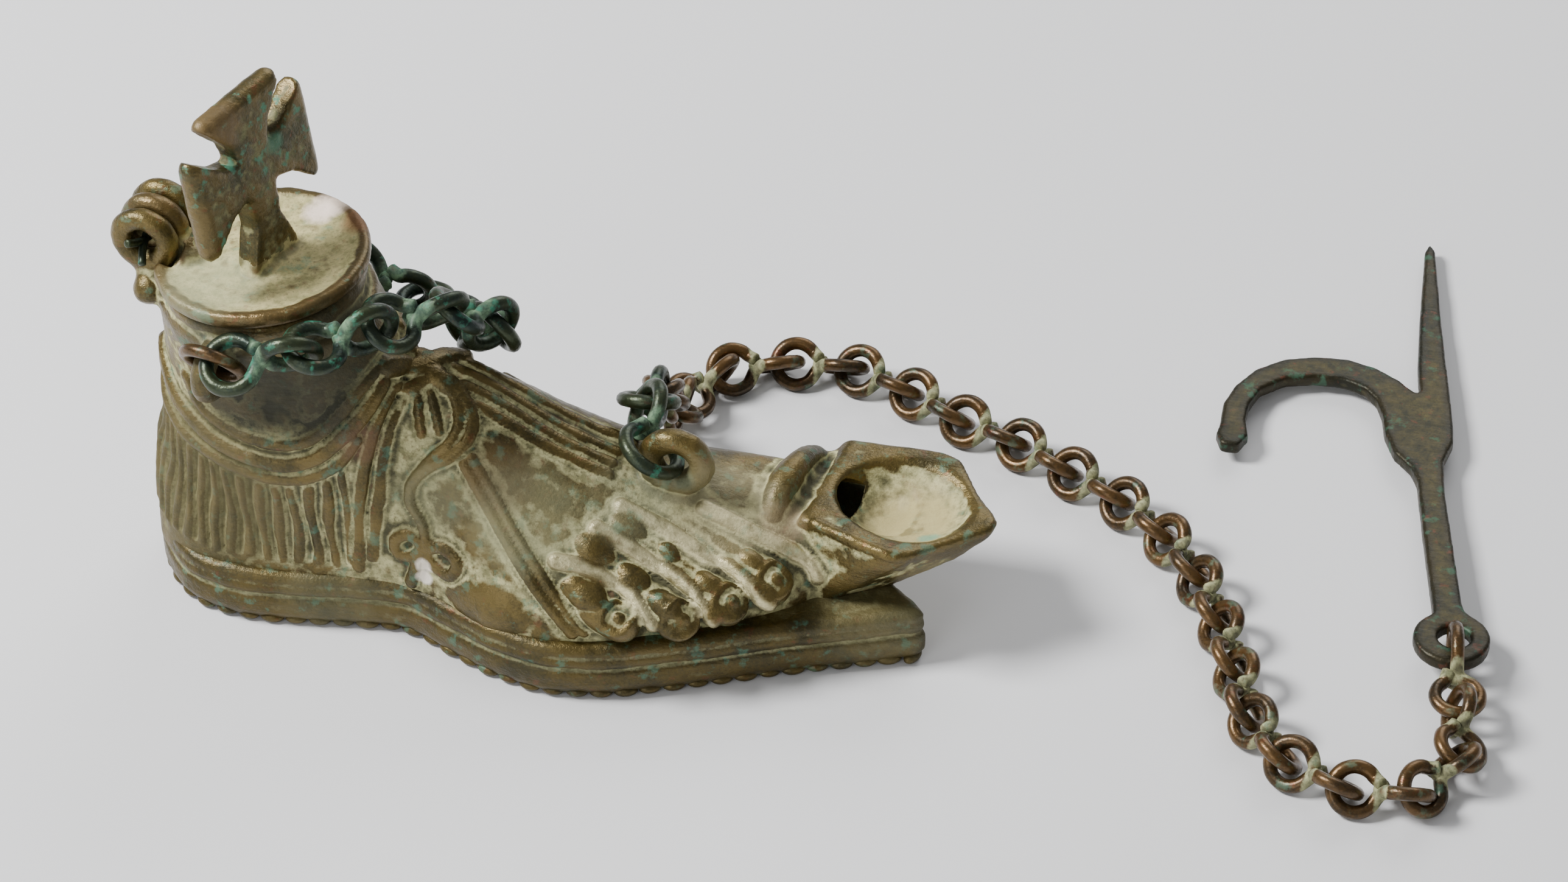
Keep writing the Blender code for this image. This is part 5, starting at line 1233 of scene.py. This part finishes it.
# %% Sweeping a wire along a path
def wire_mesh(name, path, wire, sides=14, uneven=0.0, seed=0):
    """A round bar along a path, with ends that are slightly rounded."""
    path = np.asarray(path, float)
    tangent = np.gradient(path, axis=0)
    tangent /= np.linalg.norm(tangent, axis=1)[:, None]
    side = np.cross(tangent[0], (0.3, 0.5, 0.81))
    side /= np.linalg.norm(side)
    rings, count = [], len(path)
    waver = np.array([noise.noise(Vector((k * 0.13, seed * 3.3, 0.5))) for k in range(count)])
    radii = wire / 2 * (1 + uneven * waver)
    ends = {0: ((-0.30, 0.55), (-0.12, 0.88), (0, 1)), count - 1: ((0, 1), (0.12, 0.88), (0.30, 0.55))}
    for k in range(count):
        side = side - tangent[k] * (side @ tangent[k])
        side /= np.linalg.norm(side)
        over_side = np.cross(tangent[k], side)
        for push, share in ends.get(k, ((0, 1),)):
            centre = path[k] + tangent[k] * push * wire / 2
            rings.append([tuple(centre + radii[k] * share * (math.cos(t) * side + math.sin(t) * over_side))
                          for t in np.linspace(0, 2 * math.pi, sides, endpoint=False)])
    return loft(name, rings)


# %% The hinge pin, doubled and splayed
def pin_path():
    half = PIN_WIRE / 2 + 0.1 * MM
    out = KNUCKLE_PITCH + KNUCKLE_WIRE / 2
    side = [(half + 1.3 * MM, -out - 2.4 * MM), (half, -out - 0.2 * MM), (half, out + 0.3 * MM),
            (half + 0.8 * MM, out + 1.6 * MM), (half * 0.7, out + 2.8 * MM)]
    path = [(rise, y) for rise, y in side] + [(-rise, y) for rise, y in side[::-1]]
    here = lid_frame()
    return [tuple(here @ Vector((-HINGE_BACK - rise * 0.5, y, HINGE_RISE + rise))) for rise, y in path]


pin = new_object("bent_hinge_pin", wire_mesh("bent_hinge_pin", smooth_path(pin_path(), 0.5 * MM),
                                             PIN_WIRE * 0.96, uneven=0.1))


# %% The rings in the ankle lugs
def lug_rings():
    """The two wire rings, and where the chain hangs from each."""
    for side, centre, outward in ankle_lug_frames():
        tilt = RING_RISE if side < 0 else -FAR_RING_FALL
        lean = outward * math.cos(tilt) + Vector((0, 0, math.sin(tilt)))
        along = Vector((0, 0, 1)).cross(outward) * -side
        lift = (LUG_RADIUS - LUG_WIRE * 0.9 - LINK_WIRE / 2) * 0.5
        swing = lean * math.cos(RING_SWING) + along * math.sin(RING_SWING)
        middle = centre + swing * (LUG_RING_RADIUS - lift)
        mesh = ring_mesh("ring", frame_matrix(middle, along, lean), LUG_RING_RADIUS, LINK_WIRE * 0.92, 80, 16)
        hang = middle + (along * 0.87 + lean * 0.5) * LUG_RING_RADIUS
        yield new_object("near_lug_wire" if side < 0 else "far_lug_wire", mesh), hang


(near_ring, near_hang), (far_ring, far_hang) = lug_rings()
print("pin and rings made")

# %% [markdown]
# ## The chains
# A chain is laid by walking along its route: from each joint, the next one is where the
# route is one link away. The spare length is shared out evenly, so no link is stretched.
# Every link turns about its own line by a roll. Geometry Nodes then put the bent wire on
# each place, with its turn.

# %% Link sizes
LINK_LOOP = 4.0 * MM
LINK_GAP = 0.3 * MM
LONG_SLACK = 1.3 * MM
ANKLE_SLACK = 0.5 * MM
GREEN_WIRE = 2.8 * MM
GREEN_LOOP = 4.6 * MM
HANG_LOOP = 5.3 * MM
EYE_LOOP = 5.0 * MM
HOOK_THICK = 3.0 * MM
HOOK_LENGTH = 123.4 * MM
HOOK_TURN = math.radians(8.9)
EYE_RADIUS = 7.3 * MM
EYE_HOLE = 3.1 * MM
HOOK_FLOOR = 0.3 * MM
HOOK_PLACE = (248.6, 19.3)


class Link:
    """A figure-eight link: a wire and the radii of its two loops."""

    def __init__(self, wire, loop, last_loop=None):
        self.wire = wire
        self.first, self.second = loop, last_loop or loop
        self.span = self.first + self.second + wire * 0.56

    def key(self):
        return (round(self.wire, 5), round(self.first, 5), round(self.second, 5))

    def path(self):
        """The wire's centreline, along +X, first loop in XY, second in XZ."""
        first, second = self.first * 1.05, self.second * 1.05
        points = [(-self.wire * 0.05, self.wire * 0.56, self.wire * 0.5)]
        points += [(-self.span / 2 + first * math.cos(a), first * math.sin(a), 0)
                   for a in np.radians(np.linspace(36, 302, 17))]
        points.append(((self.first - self.second) / 2, -self.wire * 0.15, self.wire * 0.15))
        points += [(self.span / 2 - second * math.cos(a), 0, second * math.sin(a))
                   for a in np.radians(np.linspace(52, 324, 17))]
        points.append((self.wire * 0.05, self.wire * 0.5, -self.wire * 0.56))
        return points


# %% Walking the route
def reach_between(a, b):
    """How far apart the loop centres of two linked links can be."""
    return a.second + b.first - (a.wire + b.wire) / 2 - LINK_GAP


def link_lengths(links):
    """Taut distance from joint to joint for each link of a chain."""
    halves = [0] + [reach_between(a, b) / 2 for a, b in zip(links, links[1:])] + [0]
    return [halves[k] + link.span + halves[k + 1] for k, link in enumerate(links)], halves


def walk_chain(dense, links, slack):
    """Joint points along a dense route, and the length of route left over."""
    lengths, halves = link_lengths(links)
    joints, at_point = [dense[0]], 0
    for k, length in enumerate(lengths):
        length -= slack * ((halves[k] > 0) + (halves[k + 1] > 0)) / 2
        away = np.linalg.norm(dense[at_point:] - joints[-1], axis=1)
        far = np.where(away >= length)[0]
        if len(far) == 0:
            return joints, away[-1] - length
        at_point += far[0]
        joints.append(dense[at_point])
    return joints, np.linalg.norm(dense[at_point:] - dense[-1], axis=1)[0]


def lay_chain(route, start, repeat, end, least, rolls):
    """Each link with its place: as many repeated links as the route needs."""
    dense = smooth_path(route, 0.05 * MM)
    links, left = start + end, 1
    while left > 0:
        links = links[:len(start)] + [repeat] + links[len(start):]
        joints, left = walk_chain(dense, links, least)
    low, high = least, least + 2 * MM
    for _ in range(30):
        slack = (low + high) / 2
        joints, left = walk_chain(dense, links, slack)
        low, high = (low, slack) if len(joints) > len(links) and left > 0 else (slack, high)
    joints, _ = walk_chain(dense, links, low)
    while len(joints) <= len(links):
        joints.append(dense[-1])
    joints[-1] = dense[-1]
    _, halves = link_lengths(links)
    numbered = [(n if n > 0 else len(links) + 1 + n, roll) for n, roll in rolls]
    rolls = np.interp(np.arange(len(links)) + 1, *zip(*numbered))
    for k, link in enumerate(links):
        a, b = Vector(joints[k]), Vector(joints[k + 1])
        along = (b - a).normalized()
        near = max(halves[k] - low / 2, 0) if k else 0
        far = max(halves[k + 1] - low / 2, 0) if k + 1 < len(links) else 0
        middle = a + along * (near + ((b - a).length - far - near) / 2)
        up = Vector((0, 0, 1)) if abs(along.z) < 0.95 else Vector((0, 1, 0))
        roll = Matrix.Rotation(math.radians(rolls[k]), 4, "X")
        yield link, frame_matrix(middle, along, up.cross(along)) @ roll


# %% The routes, in units, and the rolls, in degrees
LONG_ROUTE = [(94.5, 9, 41.5), (94, 16, 39), (94, 23.5, 33), (91, 33, 24.5), (92, 41, 14.5),
              (91, 50, 7.5), (91, 58, 4.6), (95.5, 66, 4.6), (102, 70, 4.4), (112, 72.5, 4.4),
              (124, 73, 4.4), (133, 69, 4.4), (143, 63.5, 4.4), (157, 58.5, 4.4), (170, 51.5, 4.4),
              (182, 45, 4.4), (192, 36, 4.4), (199, 27, 4.4), (204.5, 16.5, 4.4), (209, 5.5, 4.4),
              (212.5, -5, 4.4), (219, -15.5, 4.4), (229, -21.5, 4.4), (240, -23, 4.4), (249.5, -20, 4.6),
              (253.5, -12, 5.2), (252.5, -3, 5.6), (251, 5, 6.0)]
LONG_ROLLS = [(1, 31), (2, -2), (3, -32), (4, -9), (5, 15), (6, 25), (7, 45), (-3, 45), (-2, 25), (-1, 0)]
ANKLE_ROUTE = [(39, -23, 71.5), (46.5, -17.5, 70.5), (52.5, -10, 71), (57.5, -5.5, 71.5), (61.5, 2, 65.5),
               (65, 6, 59.5), (67, 11.5, 55), (65.5, 14.5, 52), (62, 18, 48), (55.5, 23.5, 45.5),
               (50.5, 25, 46), (44.5, 26.5, 46.5)]
ANKLE_ROLLS = [(1, 29), (2, 11), (3, 33), (4, 11), (5, 59), (6, 92), (7, 74)]


def eye_height():
    """The eye hangs a little under the middle of the loop that runs through it."""
    return FLOOR_GAP + LINK_WIRE / 2 + EYE_LOOP - 0.9 * MM


def hook_frame():
    x, y = HOOK_PLACE
    lean = math.asin((eye_height() - HOOK_THICK / 2 - HOOK_FLOOR) / HOOK_LENGTH)
    return (Matrix.Translation((fx(x), y * U, eye_height())) @ Matrix.Rotation(HOOK_TURN, 4, "Z")
            @ Matrix.Rotation(-lean, 4, "X"))


def chain_places():
    brown, green = Link(LINK_WIRE, LINK_LOOP), Link(GREEN_WIRE, GREEN_LOOP)
    first = Link(GREEN_WIRE, HANG_LOOP, GREEN_LOOP)
    last = Link(LINK_WIRE, LINK_LOOP, EYE_LOOP)
    start = instep_ring_frame() @ Vector((-INSTEP_RING_RADIUS * 0.93, INSTEP_RING_RADIUS * 0.36, 0))
    end = hook_frame() @ Vector((0, 0.2 * MM - EYE_LOOP, 0))
    end.z = FLOOR_GAP + LINK_WIRE / 2 + EYE_LOOP
    route = [tuple(start)] + [tuple(p) for p in in_units(LONG_ROUTE)] + [tuple(end)]
    long_chain = list(lay_chain(route, [first, green], brown, [last], LONG_SLACK, LONG_ROLLS))
    route = [tuple(near_hang)] + [tuple(p) for p in in_units(ANKLE_ROUTE)] + [tuple(far_hang)]
    return long_chain, list(lay_chain(route, [green], green, [green], ANKLE_SLACK, ANKLE_ROLLS))


long_chain, ankle_chain = chain_places()
print("links:", len(long_chain), "long,", len(ankle_chain), "at the ankle")


# %% One bent wire for each kind of link, with the places where powder collects
def link_template(link, sides=12, seed=0):
    """A link's mesh with the attribute wear: low at the waist, which a crust fills, and inside."""
    middle = (link.first - link.second) / 2
    bent = smooth_path(link.path(), 0.55 * MM)
    mesh = new_mesh("link", merged([
        wire_mesh("link", bent, link.wire, sides, uneven=0.10, seed=seed),
        ball_mesh("crust", (middle, 0.3 * MM, 0), (1.5 * MM, 1.6 * MM, 1.5 * MM))]))
    points, normal = points_of(mesh), points_of(mesh, "normal")
    waist = np.exp(-((points[:, 0] - middle) / (1.5 * MM)) ** 2)
    middles = np.where(points[:, :1] < 0, (-link.span / 2, 0, 0), (link.span / 2, 0, 0))
    away = np.maximum(np.linalg.norm(points - middles, axis=1), 1e-6)
    inward = -((points - middles) * normal).sum(1) / away
    wear = 0.74 - 0.55 * waist - 0.20 * np.clip(inward, 0, 1)
    layer = mesh.attributes.new("wear", "FLOAT", "POINT")
    layer.data.foreach_set("value", np.clip(wear, 0, 1).astype(np.float32))
    mesh.shade_smooth()
    return new_object("link_template", mesh)


def link_tree():
    """Put the template on every point, turned by the point's own rotation."""
    tree = bpy.data.node_groups.new("links_on_points", "GeometryNodeTree")
    group_input(tree, "Places", "NodeSocketGeometry")
    sockets = {"Template": group_input(tree, "Template", "NodeSocketObject"),
               "Finish": group_input(tree, "Finish", "NodeSocketMaterial")}
    tree.interface.new_socket("Chain", in_out="OUTPUT", socket_type="NodeSocketGeometry")
    given = add(tree, "NodeGroupInput")
    template = add(tree, "GeometryNodeObjectInfo", {"transform_space": "ORIGINAL"},
                   {"Object": given.outputs["Template"]})
    turn = add(tree, "GeometryNodeInputNamedAttribute", {"data_type": "QUATERNION"}, values={"Name": "turn"})
    laid = add(tree, "GeometryNodeInstanceOnPoints",
               links={"Points": given.outputs["Places"], "Instance": template.outputs["Geometry"],
                      "Rotation": turn.outputs["Attribute"]})
    real = add(tree, "GeometryNodeRealizeInstances", links={"Geometry": laid.outputs["Instances"]})
    painted = add(tree, "GeometryNodeSetMaterial", links={"Geometry": real.outputs["Geometry"],
                                                          "Material": given.outputs["Finish"]})
    out = add(tree, "NodeGroupOutput")
    tree.links.new(painted.outputs["Geometry"], out.inputs["Chain"])
    return tree, sockets


chain_tree, chain_sockets = link_tree()


def laid_links(name, placed, finish, seed):
    """One mesh of all the links of a kind, made by the tree above."""
    parts = []
    for number, key in enumerate(sorted({link.key() for link, _ in placed})):
        same = [(link, matrix) for link, matrix in placed if link.key() == key]
        mesh = bpy.data.meshes.new(name)
        mesh.from_pydata([tuple(matrix.translation) for _, matrix in same], [], [])
        turn = mesh.attributes.new("turn", "QUATERNION", "POINT")
        for value, (_, matrix) in zip(turn.data, same):
            value.value = matrix.to_quaternion()
        obj = new_object(name, mesh)
        template = link_template(same[0][0], seed=seed + number)
        made_by(chain_tree, obj, [(chain_sockets["Template"], template), (chain_sockets["Finish"], finish)])
        bpy.data.objects.remove(template)
        parts.append(obj)
    if len(parts) > 1:
        bm = bmesh.new()
        for part in parts:
            bm.from_mesh(part.data)
        bm.to_mesh(parts[0].data)
        bm.free()
        for part in parts[1:]:
            bpy.data.objects.remove(part)
    obj = parts[0]
    obj.name = name
    obj.data.materials.clear()
    obj.data.materials.append(finish)
    obj.data.polygons.foreach_set("material_index", np.zeros(len(obj.data.polygons), np.int32))
    points, normal = points_of(obj.data), points_of(obj.data, "normal")
    points += normal * (grain(points, 2.2 * MM, seed + 11) * 0.07 * MM)[:, None]
    points[:, 2] = np.maximum(points[:, 2], 0.02 * MM)
    set_points(obj.data, points)
    print(name + ":", len(obj.data.polygons), "faces")
    return obj


# %% Finish of the wires
brown_wire = patinated_bronze(
    "drawn_bronze_wire_worn_brown", metal="#5d4423", dark="#2f2617", powder="#66694a", pale="#a9a97e",
    powder_low=0.34, powder_high=0.46, green_amount=0.25, red_amount=0.3, dark_amount=0.95,
    gloss=0.32, bump=0.2)
green_wire = patinated_bronze(
    "bronze_wire_under_malachite", metal="#333b26", dark="#182824", powder="#2a4639", pale="#6f8c6c",
    green="#2b8468", powder_low=0.34, powder_high=0.60, green_amount=0.6, red_amount=0.12, dark_amount=0.95,
    gloss=0.36, bump=0.3)
brown_links = laid_links("brown_chain_links", long_chain[2:], brown_wire, 1)
green_links = laid_links("instep_green_links", long_chain[:2], green_wire, 5)
ankle_links = laid_links("ankle_green_links", ankle_chain, green_wire, 9)
for obj, finish in ((near_ring, brown_wire), (far_ring, green_wire), (pin, green_wire)):
    dress(obj, finish, fine=(2, 0.05 * MM), broad=(4, 0.2 * MM), extra=0.2)

# %% [markdown]
# ## The hook
# The hook was cut from plate, about 3 mm thick: a long shank with a spike that could be
# driven into wood, a C-shaped bow for a bar, and a round eye for the last link. Its
# outline is filled, its edges are rounded by a remesh, and its faces are left uneven.

# %% Outline and body of the hook
HOOK_EDGE = [(2.1, 8), (1, 24), (-0.2, 43), (0, 52.5), (2.0, 58), (2.2, 63), (1.9, 74.5), (1.4, 86),
             (0.9, 103), (0.6, 121), (-0.5, 123.4), (-1.6, 120.5), (-3.3, 98), (-4.2, 82), (-4.2, 72.5),
             (-8, 77), (-12.5, 80.7), (-18, 83.3), (-24.5, 83.6), (-31, 82.3), (-36.7, 78.8), (-41, 73),
             (-43.3, 67.4), (-44, 61), (-44.8, 58), (-43.9, 54.5), (-40.4, 54.1), (-38.4, 57.6),
             (-38.9, 62.4), (-38.2, 67.2), (-35.8, 72.4), (-31, 75.9), (-24.8, 77), (-19, 76.3),
             (-15, 74), (-12.7, 70.5), (-11.7, 66), (-11.5, 60.7), (-9.8, 54.2), (-6.6, 49.8),
             (-5.5, 46), (-4.9, 31), (-3.7, 7.5)]


def arc(centre, radius, start, end, steps):
    """Points on an arc, angles in degrees."""
    return [(centre[0] + radius * math.cos(math.radians(a)), centre[1] + radius * math.sin(math.radians(a)))
            for a in np.linspace(start, end, steps)]


def hook_body():
    curve = bpy.data.curves.new("hook", "CURVE")
    curve.dimensions = "2D"
    curve.fill_mode = "BOTH"
    curve.extrude = HOOK_THICK / 2 * 0.98
    size = HOOK_LENGTH / 123.4
    edge = [(x * size, y * size) for x, y in HOOK_EDGE] + arc((-0.4 * MM, 0), EYE_RADIUS, 118, 420, 40)
    for outline_points in (edge, arc((0, 0), EYE_HOLE, 0, 350, 36)):
        spline = curve.splines.new("POLY")
        spline.points.add(len(outline_points) - 1)
        for point, (x, y) in zip(spline.points, outline_points):
            point.co = (x, y, 0, 1)
        spline.use_cyclic_u = True
    obj = new_object("hook_curve", curve)
    mesh = bpy.data.meshes.new_from_object(obj.evaluated_get(bpy.context.evaluated_depsgraph_get()))
    bpy.data.objects.remove(obj)
    bm = bmesh.new()
    bm.from_mesh(mesh)
    bmesh.ops.remove_doubles(bm, verts=bm.verts, dist=0.001 * MM)
    return new_mesh("hook", bm)


hook = fused("flat_spiked_hook", [hook_body()], HOOK_VOXEL)
relax(hook, 4)
points, normal = points_of(hook.data), points_of(hook.data, "normal")
uneven = (0.16 * grain(points, 6 * MM, 21) + 0.06 * grain(points, 1.5 * MM, 22)) * MM
set_points(hook.data, points + normal * np.minimum(uneven, 0.02 * MM)[:, None])
hook.data.transform(hook_frame())
hook_bronze = patinated_bronze(
    "hammered_bronze_dark_olive", metal="#2c2611", dark="#17190c", powder="#2b2c18", pale="#5c532b",
    green="#3f7f63", powder_low=0.30, powder_high=0.70, green_amount=0.3, red_amount=0.3, dark_amount=0.9,
    gloss=0.45, bump=0.35)
dress(hook, hook_bronze, fine=(3, 0.04 * MM), broad=(16, 0.25 * MM))
print("hook:", len(hook.data.polygons), "faces")

# %% [markdown]
# ## Tie each piece to its solid
# Every piece names the solids that it stands for, which are hidden, a material slot,
# which nothing here reads, and the body that it moves with. Only the lid turns.

# %% Rides, replacements and slots
LONG_NODES = ["long_chain_link_%02d" % (k + 1) for k in range(len(long_chain))]
ANKLE_NODES = ["ankle_chain_link_%02d" % (k + 1) for k in range(len(ankle_chain))]
for obj, body, slot, nodes in (
        (casting, "root", "foot", ["foot", "nozzle"]), (sole, "root", "foot", ["sole"]),
        (beads, "root", "foot", ["sole"]), (lid, "lid", "lid", ["lid"]),
        (pin, "root", "hinge_pin", ["hinge_pin"]), (hook, "root", "hook", ["hook"]),
        (near_ring, "root", "rings", ["near_lug_ring"]), (far_ring, "root", "rings", ["far_lug_ring"]),
        (brown_links, "root", "brown_links", LONG_NODES[2:]),
        (green_links, "root", "green_links", LONG_NODES[:2]),
        (ankle_links, "root", "green_links", ANKLE_NODES)):
    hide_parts(*nodes)
    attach(obj, body)
